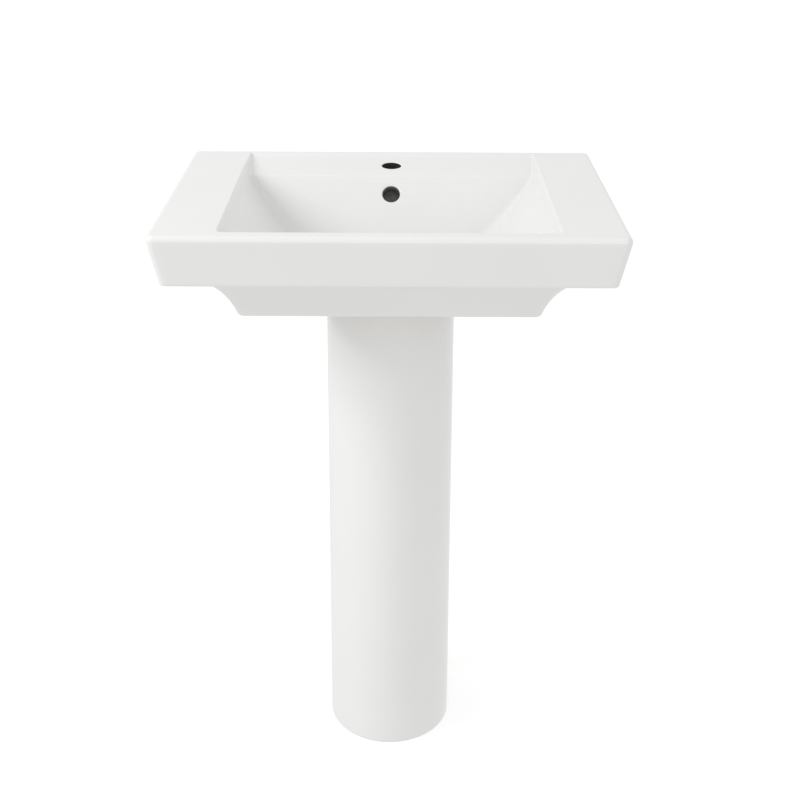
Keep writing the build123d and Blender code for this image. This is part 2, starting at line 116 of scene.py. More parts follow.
class BasinSizes(PropertyGroup):
    corner_radius: length("Corner radius", "Plan radius of the basin's corners", 0.010)
    rim_radius: length("Rim radius", "Rounding between the deck and the apron", 0.0075)
    rim_band: length("Rim band", "Upright band above the drafted apron", 0.007)
    apron_height: length("Apron height", "Deck to the apron's lower edge", 0.069)
    apron_draft: length("Apron draft", "How far the apron draws in", 0.013)
    apron_radius: length("Apron radius", "Rounding of the apron's lower edge", 0.004)
    lower_width: length("Lower width", "Width of the lower box at its bottom", 0.404)
    lower_front: length("Front setback", "Basin front to the lower box's front", 0.087)
    lower_back: length("Back setback", "Wall to the lower box's back", 0.082)
    flare: length("Flare", "How far the lower box spreads at its top", 0.048)
    flare_radius: length("Flare radius", "Radius of the hollow flare", 0.1155)
    lower_corner: length("Lower corner", "Radius of the lower box's corners", 0.012)
    lower_edge: length("Lower edge", "Rounding round the lower box's bottom", 0.008)
    side_deck: length("Side deck", "Width of the deck beside the bowl", 0.088)
    front_rim: length("Front rim", "Width of the rim in front of the bowl", 0.028)
    bowl_depth: length("Bowl depth", "Deck to the bowl's floor", 0.112)
    side_slope: degrees("Side slope", "Mean slope of the bowl's side walls", 50)
    top_slope: degrees("Top slope", "Slope of the side walls at their top", 75)
    top_ease: length("Top ease", "Run in which the side walls ease to their slope", 0.006)
    back_slope: degrees("Back slope", "Slope of the bowl's back wall", 50)
    front_slope: degrees("Front slope", "Slope of the bowl's front wall", 60)
    ledge_depth: length("Ledge depth", "Wall to the tap ledge's front edge", 0.099)
    ledge_drop: length("Ledge drop", "Deck down to the ledge's front edge", 0.0155)
    ledge_tilt: degrees("Ledge tilt", "Fall of the tap ledge to the bowl", 8)
    back_lip: length("Back lip", "Wall to the lip behind the ledge", 0.022)
    lip_slope: degrees("Lip slope", "Slope of the lip behind the ledge", 28)
    floor_radius: length("Floor radius", "Rounding between walls and floor", 0.026)
    crease_radius: length("Crease radius", "Rounding between the bowl's walls", 0.020)
    deck_radius: length("Deck radius", "Rounding between deck and bowl", 0.012)
    tap_hole: length("Tap hole", "Diameter of the tap hole", 0.0286)
    tap_setback: length("Tap setback", "Wall to the tap hole", 0.057)
    overflow_hole: length("Overflow hole", "Diameter of the overflow hole", 0.026)
    overflow_drop: length("Overflow drop", "Deck to the overflow hole", 0.039)
    drain_hole: length("Drain hole", "Diameter of the drain hole", 0.045)
    boss: length("Drain boss", "Diameter of the boss under the drain", 0.092)
    wall_bolt: length("Wall bolt hole", "Diameter of the wall bolt holes", 0.013)
    wall_bolt_spacing: length("Bolt spacing", "Between the wall bolt holes", 0.280)
    wall_bolt_drop: length("Bolt drop", "Deck to the wall bolt holes", 0.042)
    wall: length("China wall", "Thickness of the cast walls", 0.011)


class PedestalSizes(PropertyGroup):
    nose: length("Nose", "Depth of the half-ellipse in front", 0.110)
    wall: length("Wall", "Thickness of the pedestal's wall", 0.012)
    edge: length("Edge", "Rounding of the top and bottom edges", 0.003)
    bridge_height: length("Bridge height", "Height of the tie across the back", 0.034)
    bridge_depth: length("Bridge depth", "Depth of the tie across the back", 0.014)
    foot_height: length("Foot height", "Thickness of the bolted foot", 0.014)
    foot_depth: length("Foot depth", "Depth of the bolted foot", 0.080)
    bolt: length("Floor bolt hole", "Diameter of the floor bolt holes", 0.011)
    bolt_spacing: length("Bolt spacing", "Between the floor bolt holes", 0.110)


class DrainSizes(PropertyGroup):
    flange: length("Flange", "Diameter of the drain's flange", 0.066)
    flange_thick: length("Flange thickness", "Thickness of the flange", 0.0045)
    tube: length("Drain tube", "Outside diameter of the threaded tube", 0.040)
    bore: length("Bore", "Inside diameter of the drain", 0.035)
    seat: length("Seat", "Diameter of the conical seat at the top", 0.052)
    seat_depth: length("Seat depth", "Depth of the conical seat", 0.0042)
    tail: length("Drain length", "Bowl floor to the drain's lower end", 0.078)
    engagement: length("Engagement", "How far the tailpiece goes in", 0.014)
    nut_flats: length("Nut flats", "Across the flats of the drain nut", 0.056)
    thread_pitch: length("Thread pitch", "Pitch of the drain's thread", 0.0018)
    thread_depth: length("Thread depth", "Depth of the drain's thread", 0.0006)
    spring_wire: length("Spring wire", "Diameter of the spring's wire", 0.0012)


class TrapSizes(PropertyGroup):
    tube: length("Tube", "Outside diameter of the trap's tube", 0.0318)
    tube_wall: length("Tube wall", "Wall of the trap's tube", 0.0012)
    hub_wall: length("Hub wall", "Wall of the trap's hubs", 0.0026)
    elbow: length("Elbow radius", "Centre-line radius of the arm's elbow", 0.032)
    insertion: length("Insertion", "How far a tube goes into a hub", 0.022)
    nut_flats: length("Nut flats", "Across the flats of the slip nuts", 0.046)
    cleanout: length("Cleanout", "Bore of the cleanout", 0.020)
    plug_flats: length("Plug flats", "Across the flats of the cleanout plug", 0.026)


class Finishes(PropertyGroup):
    glaze: colour("Glaze", "Colour of the fired glaze", (0.757, 0.758, 0.748))
    clay: colour("Raw clay", "Colour of the unglazed clay", (0.60, 0.56, 0.50))
    chrome: colour("Chrome", "Colour of the plated metal", (0.78, 0.79, 0.80))
    brass: colour("Brass", "Colour of the bare brass", (0.72, 0.55, 0.28))
    rubber: colour("Rubber", "Colour of the rubber", (0.030, 0.030, 0.033))
    plastic: colour("Plastic", "Colour of the moulded plastic", (0.78, 0.78, 0.75))
    steel: colour("Spring steel", "Colour of the spring's wire", (0.62, 0.62, 0.63))
    floor: colour("Floor", "Colour of the studio floor", (0.42, 0.42, 0.42))


class StageSizes(PropertyGroup):
    camera_x: length("Camera X", "Camera to the right of the middle", 0.0130)
    camera_y: length("Camera Y", "Camera in front of the middle", -2.0803)
    camera_z: length("Camera Z", "Camera above the floor", 1.3695)
    pitch: degrees("Camera pitch", "How far the camera looks down", 21.392)
    yaw: degrees("Camera yaw", "How far the camera turns to the right", 0.042)
    roll: degrees("Camera roll", "Turn of the camera about its view", 0.283)
    lens: FloatProperty(name="Lens", description="Focal length in millimetres", default=68.283)
    world: FloatProperty(name="Room light", description="Strength of the room's light", default=0.86)
    key: FloatProperty(
        name="Key light", description="Power of the key light", default=43.0, unit="POWER"
    )
    fill: FloatProperty(
        name="Fill light", description="Power of the light in front", default=9.0, unit="POWER"
    )


# ---- Meshes from whole arrays ----
def put_mesh(name, points, quads, triangles=()):
    """Object from arrays of points and faces; faces are turned over if the volume is negative."""
    quads = np.asarray(quads, np.int32).reshape(-1, 4)
    triangles = np.asarray(triangles, np.int32).reshape(-1, 3)
    halves = np.concatenate([quads[:, [0, 1, 2]], quads[:, [0, 2, 3]], triangles])
    a, b, c = (points[halves[:, i]] for i in range(3))
    if np.einsum("ij,ij->", a, np.cross(b, c)) < 0:
        quads, triangles = quads[:, ::-1], triangles[:, ::-1]
    corners = np.concatenate([quads.ravel(), triangles.ravel()])
    sizes = np.repeat([4, 3], [len(quads), len(triangles)])
    mesh = bpy.data.meshes.new(name)
    mesh.vertices.add(len(points))
    mesh.vertices.foreach_set("co", points.astype(np.float32).ravel())
    mesh.loops.add(len(corners))
    mesh.loops.foreach_set("vertex_index", corners)
    mesh.polygons.add(len(sizes))
    mesh.polygons.foreach_set("loop_start", np.concatenate([[0], np.cumsum(sizes)[:-1]]))
    mesh.update(calc_edges=True)
    if mesh.validate():
        raise RuntimeError(name + " has faces that do not fit together")
    piece = bpy.data.objects.new(name, mesh)
    bpy.context.scene.collection.objects.link(piece)
    return piece


def joined(rings, around=False):
    """Quads between neighbouring rings of a (ring, step) grid; around also joins last to first."""
    count, steps = rings
    i = np.arange(count if around else count - 1)[:, None]
    j = np.arange(steps)[None, :]
    above, beside = (i + 1) % count, (j + 1) % steps
    corners = [i * steps + j, i * steps + beside, above * steps + beside, above * steps + j]
    return np.stack(corners, -1).reshape(-1, 4)


def fan(ring, pole):
    """Triangles from each pair of neighbours in a ring of point numbers to one pole."""
    return np.stack([ring, np.roll(ring, -1), np.full(len(ring), pole)], -1)


def put_rings(name, rings, ends=None):
    """Skin over rings of points: closed on itself, or closed at both ends in a point."""
    count, steps = rings.shape[:2]
    points = rings.reshape(-1, 3)
    if ends is None:
        return put_mesh(name, points, joined((count, steps), around=True))
    points = np.concatenate([points, np.asarray(ends, float)])
    first, last = np.arange(steps), np.arange(steps) + (count - 1) * steps
    caps = np.concatenate([fan(first[::-1], count * steps), fan(last, count * steps + 1)])
    return put_mesh(name, points, joined((count, steps)), caps)


def soften(outline, radius, closed=True, steps=4):
    """Outline with rounded corners: each corner c becomes the curve
    (1-t)^2 a + 2t(1-t) c + t^2 b, where a and b lie on its two sides, radius away or at
    most 0.45 of the side. An open outline keeps its two ends."""
    outline = np.asarray(outline, float)
    if closed:
        corner, before, after = outline, np.roll(outline, 1, 0), np.roll(outline, -1, 0)
    else:
        corner, before, after = outline[1:-1], outline[:-2], outline[2:]

    def toward(other):
        side = other - corner
        size = np.linalg.norm(side, axis=1, keepdims=True)
        return corner + side / size * np.minimum(radius, 0.45 * size)

    t = np.linspace(0, 1, steps)[None, :, None]
    a, b = toward(before)[:, None], toward(after)[:, None]
    curve = (1 - t) ** 2 * a + 2 * t * (1 - t) * corner[:, None] + t**2 * b
    curve = curve.reshape(-1, 2)
    return curve if closed else np.concatenate([outline[:1], curve, outline[-1:]])


def turned(name, profile, centre, tilt=0.0, steps=96, solid=False, flats=None, thread=None):
    """Surface of revolution: profile point (r, h) at angle a lies at
    centre + r cos a * side + r sin a * up + h * along, where tilt leans along from +Z to -Y.
    flats limits r to a hexagon, and thread = (low, high, pitch, depth, r) cuts a helix in r.
    A solid's profile starts and ends on the axis."""
    profile = np.asarray(profile, float)
    inner = profile[1:-1] if solid else profile
    angle = np.arange(steps) * 2 * np.pi / steps
    r = np.repeat(inner[:, :1], steps, axis=1)
    h = inner[:, 1:2]
    if flats:
        r = np.minimum(r, flats / 2 / np.cos(angle % (np.pi / 3) - np.pi / 6))
    if thread:
        low, high, pitch, depth, outside = thread
        wave = 0.5 + 0.5 * np.cos(2 * np.pi * h / pitch - angle)
        fade = np.clip((h - low) / pitch, 0, 1) * np.clip((high - h) / pitch, 0, 1)
        r = r - np.where(abs(r - outside) < depth / 2, depth * wave * fade, 0)
    side = np.array([1, 0, 0])
    up = np.array([0, math.cos(tilt), math.sin(tilt)])
    along = np.array([0, -math.sin(tilt), math.cos(tilt)])
    centre = np.asarray(centre, float)
    rings = (
        centre
        + (r * np.cos(angle))[..., None] * side
        + (r * np.sin(angle))[..., None] * up
        + (h + 0 * r)[..., None] * along
    )
    ends = [centre + profile[k, 1] * along for k in (0, -1)] if solid else None
    return put_rings(name, rings, ends)


def ring_profile(inner, outer, low, high, edge=0.0004):
    return soften([(inner, low), (outer, low), (outer, high), (inner, high)], edge)


def rod(name, radius, low, high, centre, **turning):
    profile = [(0, low), (radius, low), (radius, high), (0, high)]
    return turned(name, profile, centre, solid=True, **turning)


def piped(name, path, heading, outside, inside, steps=64):
    """Tube along a path in the YZ plane: at each point, rings of the two radii lie square to
    the heading; the rings run out along the outside and back along the inside."""
    angle = np.arange(steps) * 2 * np.pi / steps
    centre = np.stack([0 * path[:, 0], path[:, 0], path[:, 1]], -1)
    side = np.array([1.0, 0, 0])
    up = np.stack([0 * heading[:, 0], -heading[:, 1], heading[:, 0]], -1)
    circle = np.cos(angle)[None, :, None] * side + np.sin(angle)[None, :, None] * up[:, None]
    outer = centre[:, None] + outside[:, None, None] * circle
    inner = centre[:, None] + inside[:, None, None] * circle
    return put_rings(name, np.concatenate([outer, inner[::-1]]))


def straight(start, end, steps):
    """Points along a line, without its end, and the heading at each."""
    start, end = np.array(start, float), np.array(end, float)
    t = np.linspace(0, 1, steps, endpoint=False)[:, None]
    heading = (end - start) / np.linalg.norm(end - start)
    return start + t * (end - start), np.repeat(heading[None], steps, axis=0)


def curved(centre, radius, begin, finish, steps):
    """Points centre + radius (cos a, sin a) from begin to finish, and the heading at each."""
    a = np.linspace(begin, finish, steps, endpoint=False)
    way = np.sign(finish - begin)
    points = np.array(centre) + radius * np.stack([np.cos(a), np.sin(a)], -1)
    return points, way * np.stack([-np.sin(a), np.cos(a)], -1)


def route(*stretches, end):
    """One path from its stretches and its last point."""
    points = np.concatenate([s[0] for s in stretches] + [[end]])
    heading = np.concatenate([s[1] for s in stretches] + [stretches[-1][1][-1:]])
    return points, heading


def rounded_outline(steps=7):
    """Corner places in (-1..1, 0..1) and outward directions of a rounded rectangle."""
    quarter = np.linspace(0, np.pi / 2, steps)
    angle = (quarter[None] + np.arange(4)[:, None] * np.pi / 2).ravel()
    across = np.repeat([1, -1, -1, 1], steps)
    back = np.repeat([1, 1, 0, 0], steps)
    return across, back, np.cos(angle), np.sin(angle)


def outline_rows(outline, rows):
    """Rings from rows of (half width, front, back, radius, height): a point is its place on
    the rectangle of the corner centres plus radius times its outward direction."""
    across, back, out_x, out_y = (np.asarray(v, float)[None] for v in outline)
    half, front, rear, radius, height = (c[:, None] for c in np.asarray(rows, float).T)
    x = half * across + radius * out_x
    y = front + (rear - front) * back + radius * out_y
    return np.stack([x, y, height + 0 * x], -1)


def rounded_block(name, low, high, corner, edge):
    """Upright block with rounded corners and edges, from rows of its outline."""
    turn = np.linspace(0, np.pi / 2, 5)
    inset = edge * (1 - np.sin(turn))
    rise = edge * (1 - np.cos(turn))
    shape = [high[0] - corner, low[1] + corner, high[1] - corner]
    bottom = [shape + [corner - i, low[2] + r] for i, r in zip(inset, rise)]
    top = [shape + [corner - i, high[2] - r] for i, r in zip(inset[::-1], rise[::-1])]
    middle = [0, (low[1] + high[1]) / 2]
    ends = [middle + [low[2]], middle + [high[2]]]
    return put_rings(name, outline_rows(rounded_outline(), bottom + top), ends)


def combine(piece, others, operation):
    """Cuts the others from the piece or adds them to it, and keeps the finished mesh. A step
    on a mesh whose faces do not all point outwards is skipped by Blender, with a warning."""
    for other in others:
        step = piece.modifiers.new(other.name, "BOOLEAN")
        step.operation = operation
        step.solver = "MANIFOLD"
        step.object = other
    bpy.context.view_layer.update()
    evaluated = piece.evaluated_get(bpy.context.evaluated_depsgraph_get())
    mesh = bpy.data.meshes.new_from_object(evaluated)
    piece.modifiers.clear()
    piece.data = mesh
    mesh.name = piece.name
    for other in others:
        bpy.data.objects.remove(other)
    if not len(mesh.polygons):
        raise RuntimeError(piece.name + " has nothing left after " + operation)


def finish_piece(piece, body, nodes, finishes, rule=None, sharp=38):
    """Smooth shading with true edges, a finish for each face by the rule on its middle, the
    piece's body in the frame, and the nodes it replaces hidden."""
    mesh = piece.data
    mesh.materials.clear()
    for finish in finishes:
        mesh.materials.append(finish)
    count = len(mesh.polygons)
    chosen = np.zeros(count, np.int32)
    if rule:
        centre = np.zeros(count * 3, np.float32)
        mesh.polygons.foreach_get("center", centre)
        chosen = rule(*centre.reshape(-1, 3).T).astype(np.int32)
    mesh.polygons.foreach_set("material_index", chosen)
    mesh.polygons.foreach_set("use_smooth", np.ones(count, bool))
    mesh.set_sharp_from_angle(angle=math.radians(sharp))
    mesh.update()
    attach(piece, body)
    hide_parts(*nodes)


# ---- Materials ----
class Finish:
    """A material whose shader sockets are set directly, with object-space noise to vary them."""

    def __init__(self, name, **constants):
        self.material = bpy.data.materials.new(name)
        self.material.use_nodes = True
        self.tree = self.material.node_tree
        self.shader = self.tree.nodes["Principled BSDF"]
        self.place = self.tree.nodes.new("ShaderNodeTexCoord").outputs["Object"]
        for socket, value in constants.items():
            self.shader.inputs[socket.replace("_", " ")].default_value = value

    def noise(self, scale, detail=3.0, stretch=None):
        place = self.place
        if stretch:
            mapping = self.tree.nodes.new("ShaderNodeMapping")
            mapping.inputs["Scale"].default_value = stretch
            self.tree.links.new(place, mapping.inputs["Vector"])
            place = mapping.outputs["Vector"]
        node = self.tree.nodes.new("ShaderNodeTexNoise")
        node.inputs["Scale"].default_value = scale
        node.inputs["Detail"].default_value = detail
        self.tree.links.new(place, node.inputs["Vector"])
        return node.outputs["Fac"]

    def between(self, source, low, high, start=0.3, stop=0.7):
        """Value that goes from low to high as the source goes from start to stop."""
        node = self.tree.nodes.new("ShaderNodeMapRange")
        self.tree.links.new(source, node.inputs["Value"])
        sockets = ("From Min", "From Max", "To Min", "To Max")
        for socket, value in zip(sockets, (start, stop, low, high)):
            node.inputs[socket].default_value = value
        return node.outputs["Result"]

    def tint(self, source, first, second, start=0.3, stop=0.7):
        """Base colour that goes from the first to the second with the source."""
        node = self.tree.nodes.new("ShaderNodeMix")
        node.data_type = "RGBA"
        self.tree.links.new(self.between(source, 0, 1, start, stop), node.inputs["Factor"])
        colours = [s for s in node.inputs if s.type == "RGBA"]
        colours[0].default_value = (*first, 1)
        colours[1].default_value = (*second, 1)
        result = [s for s in node.outputs if s.type == "RGBA"][0]
        self.tree.links.new(result, self.shader.inputs["Base Color"])

    def rough(self, source, low, high):
        self.tree.links.new(self.between(source, low, high), self.shader.inputs["Roughness"])

    def bumps(self, *layers):
        """Bump from layers of (noise, height in metres), one on top of the other."""
        before = None
        for source, height in layers:
            node = self.tree.nodes.new("ShaderNodeBump")
            node.inputs["Strength"].default_value = 1.0
            node.inputs["Distance"].default_value = height
            self.tree.links.new(source, node.inputs["Height"])
            if before:
                self.tree.links.new(before, node.inputs["Normal"])
            before = node.outputs["Normal"]
        self.tree.links.new(before, self.shader.inputs["Normal"])


def shade(colour_value, factor):
    """Colour made darker or lighter, with no channel past 1."""
    return tuple(min(1.0, c * factor) for c in colour_value)


def kept(name, make):
    """The named material, made on first use."""
    return bpy.data.materials.get(name) or make(name)


def china_glaze():
    """Fired glaze: faint pooling of the colour, slow ripples and fine orange peel."""
    def make(name):
        base = bpy.context.scene.sink_finishes.glaze
        finish = Finish(name, IOR=1.5, Coat_Weight=0.4, Coat_Roughness=0.04)
        finish.tint(finish.noise(9.0, 4), shade(base, 0.99), shade(base, 1.008))
        finish.rough(finish.noise(38.0, 5), 0.09, 0.16)
        finish.bumps((finish.noise(26.0, 2), 0.00006), (finish.noise(420.0, 2), 0.000006))
        return finish.material
    return kept("china_glaze", make)


def raw_clay():
    """Unglazed fired clay: matt, sandy and slightly stained."""
    def make(name):
        base = bpy.context.scene.sink_finishes.clay
        finish = Finish(name, Roughness=0.85)
        finish.tint(finish.noise(55.0, 8), shade(base, 0.86), shade(base, 1.08))
        finish.rough(finish.noise(140.0, 4), 0.78, 0.95)
        finish.bumps((finish.noise(90.0, 4), 0.0003), (finish.noise(1400.0, 3), 0.00012))
        return finish.material
    return kept("raw_clay", make)


def hole_shadow(title, grey):
    """Dark clay colour inside the tap hole and the overflow: painted shade standing in for the shadow in
    the holes.
    """
    def make(name):
        base = (grey, grey, grey)
        finish = Finish(name, Roughness=0.45)
        finish.tint(finish.noise(160.0, 5), shade(base, 0.6), shade(base, 1.2))
        finish.rough(finish.noise(300.0, 3), 0.32, 0.6)
        finish.bumps((finish.noise(900.0, 3), 0.00008),)
        return finish.material
    return kept(title, make)


def plated_chrome():
    """Chrome plate with wiped smudges and hairline scratches."""
    def make(name):
        base = bpy.context.scene.sink_finishes.chrome
        finish = Finish(name, Metallic=1.0)
        finish.tint(finish.noise(30.0, 5), shade(base, 0.94), shade(base, 1.03))
        finish.rough(finish.noise(75.0, 7), 0.05, 0.19)
        fine = finish.noise(500.0, 3, stretch=(1.0, 1.0, 9.0))
        finish.bumps((finish.noise(60.0, 2), 0.00003), (fine, 0.000008))
        return finish.material
    return kept("plated_chrome", make)


def bare_brass():
    """Machined brass, browned in patches."""
    def make(name):
        base = bpy.context.scene.sink_finishes.brass
        finish = Finish(name, Metallic=1.0)
        finish.tint(finish.noise(85.0, 7), shade(base, 0.62), shade(base, 1.05))
        finish.rough(finish.noise(120.0, 5), 0.22, 0.46)
        turning = finish.noise(700.0, 2, stretch=(0.2, 0.2, 6.0))
        finish.bumps((finish.noise(160.0, 4), 0.00005), (turning, 0.00002))
        return finish.material
    return kept("bare_brass", make)


def moulded_rubber():
    """Black rubber with a dusty bloom."""
    def make(name):
        base = bpy.context.scene.sink_finishes.rubber
        finish = Finish(name, Sheen_Weight=0.12)
        finish.tint(finish.noise(130.0, 6), shade(base, 0.8), shade(base, 1.7))
        finish.rough(finish.noise(220.0, 4), 0.5, 0.75)
        finish.bumps((finish.noise(1100.0, 3), 0.00005),)
        return finish.material
    return kept("moulded_rubber", make)


def moulded_plastic():
    """Off-white plastic with flow marks and a fine satin grain."""
    def make(name):
        base = bpy.context.scene.sink_finishes.plastic
        finish = Finish(name)
        finish.tint(finish.noise(50.0, 4), shade(base, 0.95), shade(base, 1.02))
        finish.rough(finish.noise(180.0, 4), 0.32, 0.5)
        finish.bumps((finish.noise(1500.0, 2), 0.00003),)
        return finish.material
    return kept("moulded_plastic", make)


def drawn_steel():
    """Drawn spring wire with darker draw marks."""
    def make(name):
        base = bpy.context.scene.sink_finishes.steel
        finish = Finish(name, Metallic=1.0)
        finish.tint(finish.noise(400.0, 4), shade(base, 0.75), shade(base, 1.05))
        finish.rough(finish.noise(300.0, 4), 0.2, 0.36)
        finish.bumps((finish.noise(1800.0, 2), 0.00002),)
        return finish.material
    return kept("drawn_steel", make)


finish_of_slot = {
    "china": china_glaze,
    "chrome": plated_chrome,
    "brass": bare_brass,
    "rubber": moulded_rubber,
    "plastic": moulded_plastic,
    "spring_steel": drawn_steel,
}


def stands_for(piece, node, sharp=38):
    """Finishes a piece that replaces one node, on that node's body and in its slot."""
    body = frame["nodes"][node]["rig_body"]
    finish_piece(piece, body, [node], [finish_of_slot[slot_of[node]]()], sharp=sharp)


# ---- Basin ----
lip_round, ledge_round = 0.012, 0.010  # roundings behind the tap ledge and at its front
crease_low, crease_ledge, crease_run = 0.020, 0.004, 0.075  # blend of the back corners
floor_fall = 0.010  # slope of the bowl's floor towards the drain
pocket_half = 0.188  # half width of the open pocket behind the bowl
pocket_corner, pocket_edge = 0.010, 0.006
seal_recess, recess_depth = 0.0333, 0.0072  # seat of the flange seal round the drain hole
duct_radius, duct_depth = 0.018, 0.011  # wider chamber behind the overflow hole
hole_depth = 0.020  # how far the tap and bolt bores reach into the casting
margin = 0.0005  # by which a face counts as part of the hole or pocket beside it


def blend_of(radius, first, second):
    """Height difference at which two slopes start to blend, for a rounding of this radius.

    The blend is a parabola with second derivative g^2 / (2 k) along the difference of the
    two gradients, g long. Its curvature on the mean slope, with d along that difference and
    e across it, is g^2 (1 + e^2) / (2 k (1 + d^2 + e^2)^1.5), and k makes it 1 / radius."""
    first, second = np.array(first, float), np.array(second, float)
    gap = np.linalg.norm(first - second)
    mean = (first + second) / 2
    d = mean @ (first - second) / gap
    e = math.sqrt(max(mean @ mean - d * d, 0))
    return radius * gap**2 / 2 * (1 + e * e) / (1 + d * d + e * e) ** 1.5


def higher(a, b, k):
    """Larger of two heights, plus (k - |a - b|)^2 / (4 k) where they are within k."""
    return np.maximum(a, b) + np.maximum(k - abs(a - b), 0) ** 2 / (4 * k)


def lower(a, b, k):
    return -higher(-a, -b, k)


class BowlShape:
    """Places of the bowl that the surface, the grid and the cutters share."""

    def __init__(self, s):
        self.half = basin_high.x - s.side_deck
        self.fall = s.bowl_depth / math.tan(s.side_slope)
        self.front = basin_low.y + s.front_rim
        self.floor_z = rim_z - s.bowl_depth
        self.side, self.back, self.fore, self.tilt, self.lip = (
            math.tan(a) for a in (s.side_slope, s.back_slope, s.front_slope, s.ledge_tilt, s.lip_slope)
        )
        self.ledge_y, self.ledge_z = back_y - s.ledge_depth, rim_z - s.ledge_drop
        self.top_slope, self.ease = math.tan(s.top_slope), s.top_ease
        self.lip_y = back_y - s.back_lip
        self.lip_z = self.ledge_z + (self.lip_y - self.ledge_y) * self.tilt

    def side_drop(self, run):
        """Drop of the side wall over a run from its edge: a straight slope, and above it the
        integral of the steeper top, (top - slope) a^2 / (a + run)^2 with a the ease."""
        eased = self.ease * run / (self.ease + np.maximum(run, 0))
        slope = self.side - (self.top_slope - self.side) * self.ease / (self.fall - self.ease)
        return slope * run + (self.top_slope - slope) * eased

    def surface(self, x, y, s):
        """Height of the glaze: the deck, lowered to the walls of the bowl; the walls are the
        highest of the side, front and back planes and a floor that falls to the drain."""
        side = rim_z - self.side_drop(self.half - abs(x))
        front = rim_z - (y - self.front) * self.fore
        ledge = self.ledge_z + (y - self.ledge_y) * self.tilt
        lip = self.lip_z + (y - self.lip_y) * self.lip
        wall = self.ledge_z + (y - self.ledge_y) * self.back
        back = higher(ledge, lip, blend_of(lip_round, (0, self.tilt), (0, self.lip)))
        back = lower(wall, back, blend_of(ledge_round, (0, self.back), (0, self.tilt)))
        crease = blend_of(s.crease_radius, (self.side, 0), (0, -self.fore))
        walls = higher(side, front, crease)
        # the crease to the back wall is tight at the ledge and opens towards the floor
        stretch = [self.ledge_y - crease_run, self.ledge_y]
        walls = higher(walls, back, np.interp(y, stretch, [crease_low, crease_ledge]))
        fall = floor_fall * np.maximum(np.hypot(x, y - drain_y) - s.boss / 2, 0)
        walls = higher(walls, self.floor_z + fall, blend_of(s.floor_radius, (self.side, 0), (0, 0)))
        roll = blend_of(s.deck_radius, (self.top_slope, 0), (0, 0))
        # the roll at the deck's edge tightens behind the ledge, so that the back edge stays level
        roll = np.interp(y, [self.ledge_y, self.lip_y], [roll, 0.2 * roll])
        return lower(walls, rim_z + 0 * x, roll)


def grid_lines(marks, counts):
    """Places between marks, each stretch divided evenly, with the last mark."""
    spans = zip(marks[:-1], marks[1:], counts)
    return np.concatenate([np.linspace(a, b, n, endpoint=False) for a, b, n in spans] + [marks[-1:]])


def deck_grid(s, bowl):
    """Deck and bowl: a grid in x and y, closer where the surface turns. In each corner of
    the deck the square (u, v) becomes the quarter disc (u sqrt(1 - v^2/2), v sqrt(1 - u^2/2))."""
    core_x, core_y = basin_high.x - s.corner_radius, back_y - s.corner_radius
    rounding = s.corner_radius - s.rim_radius
    turn = 0.005  # the grid is closest within this of the bowl's edge
    half = grid_lines(
        [0, 0.105, bowl.half - 2 * turn, bowl.half + turn, core_x, core_x + rounding],
        [20, 40, 18, 7, 4],
    )
    x = np.concatenate([-half[:0:-1], half])
    y = grid_lines(
        [
            -core_y - rounding, -core_y, bowl.front - turn, bowl.front + turn,
            bowl.front + 0.080, 0.050, bowl.ledge_y - 0.006, bowl.ledge_y + 0.007,
            bowl.lip_y - 0.008, core_y, core_y + rounding,
        ],
        [4, 3, 14, 28, 30, 38, 14, 12, 16, 4],
    )
    x, y = np.meshgrid(x, y)
    z = bowl.surface(x, y, s)
    u = np.maximum(abs(x) - core_x, 0) / rounding
    v = np.maximum(abs(y) - core_y, 0) / rounding
    pull_x, pull_y = rounding * u * np.sqrt(1 - v * v / 2), rounding * v * np.sqrt(1 - u * u / 2)
    x = np.sign(x) * (np.minimum(abs(x), core_x) + pull_x)
    y = np.sign(y) * (np.minimum(abs(y), core_y) + pull_y)
    return np.stack([x, y, z], -1), core_x, core_y


def fillet_rows(radius, lean, steps=7):
    """Inset and rise of a rounding from a wall that leans this much to a level underside."""
    turn = np.linspace(lean, np.pi / 2, steps)
    return radius * (1 - np.cos(turn)), radius * (1 - np.sin(turn))


def apron_rows(s, core_x, core_y):
    """Rows from the rim down the apron to its underside, as (half, front, back, radius, z)."""
    slope = s.apron_draft / (s.apron_height - s.rim_band)
    lean = math.atan(slope)
    apron_z = rim_z - s.apron_height

    def draft(z):
        return slope * higher(rim_z - s.rim_band - z, 0.0, 0.006)

    rows = []
    for turn in np.linspace(0, np.pi / 2, 9)[1:]:
        radius = s.corner_radius - s.rim_radius * (1 - math.sin(turn))
        z = rim_z - s.rim_radius * (1 - math.cos(turn))
        rows.append((core_x - draft(z), -core_y + draft(z), core_y, radius, z))
    start = apron_z + s.apron_radius
    for z in np.linspace(rim_z - s.rim_radius - 0.002, start + 0.003, 9):
        rows.append((core_x - draft(z), -core_y + draft(z), core_y, s.corner_radius, z))
    shift = draft(start) + s.apron_radius * (1 / math.cos(lean) - 1)
    for inset, rise in zip(*fillet_rows(s.apron_radius, lean)):
        radius = s.corner_radius - inset
        rows.append((core_x - shift, -core_y + shift, core_y, radius, apron_z + rise))
    return rows


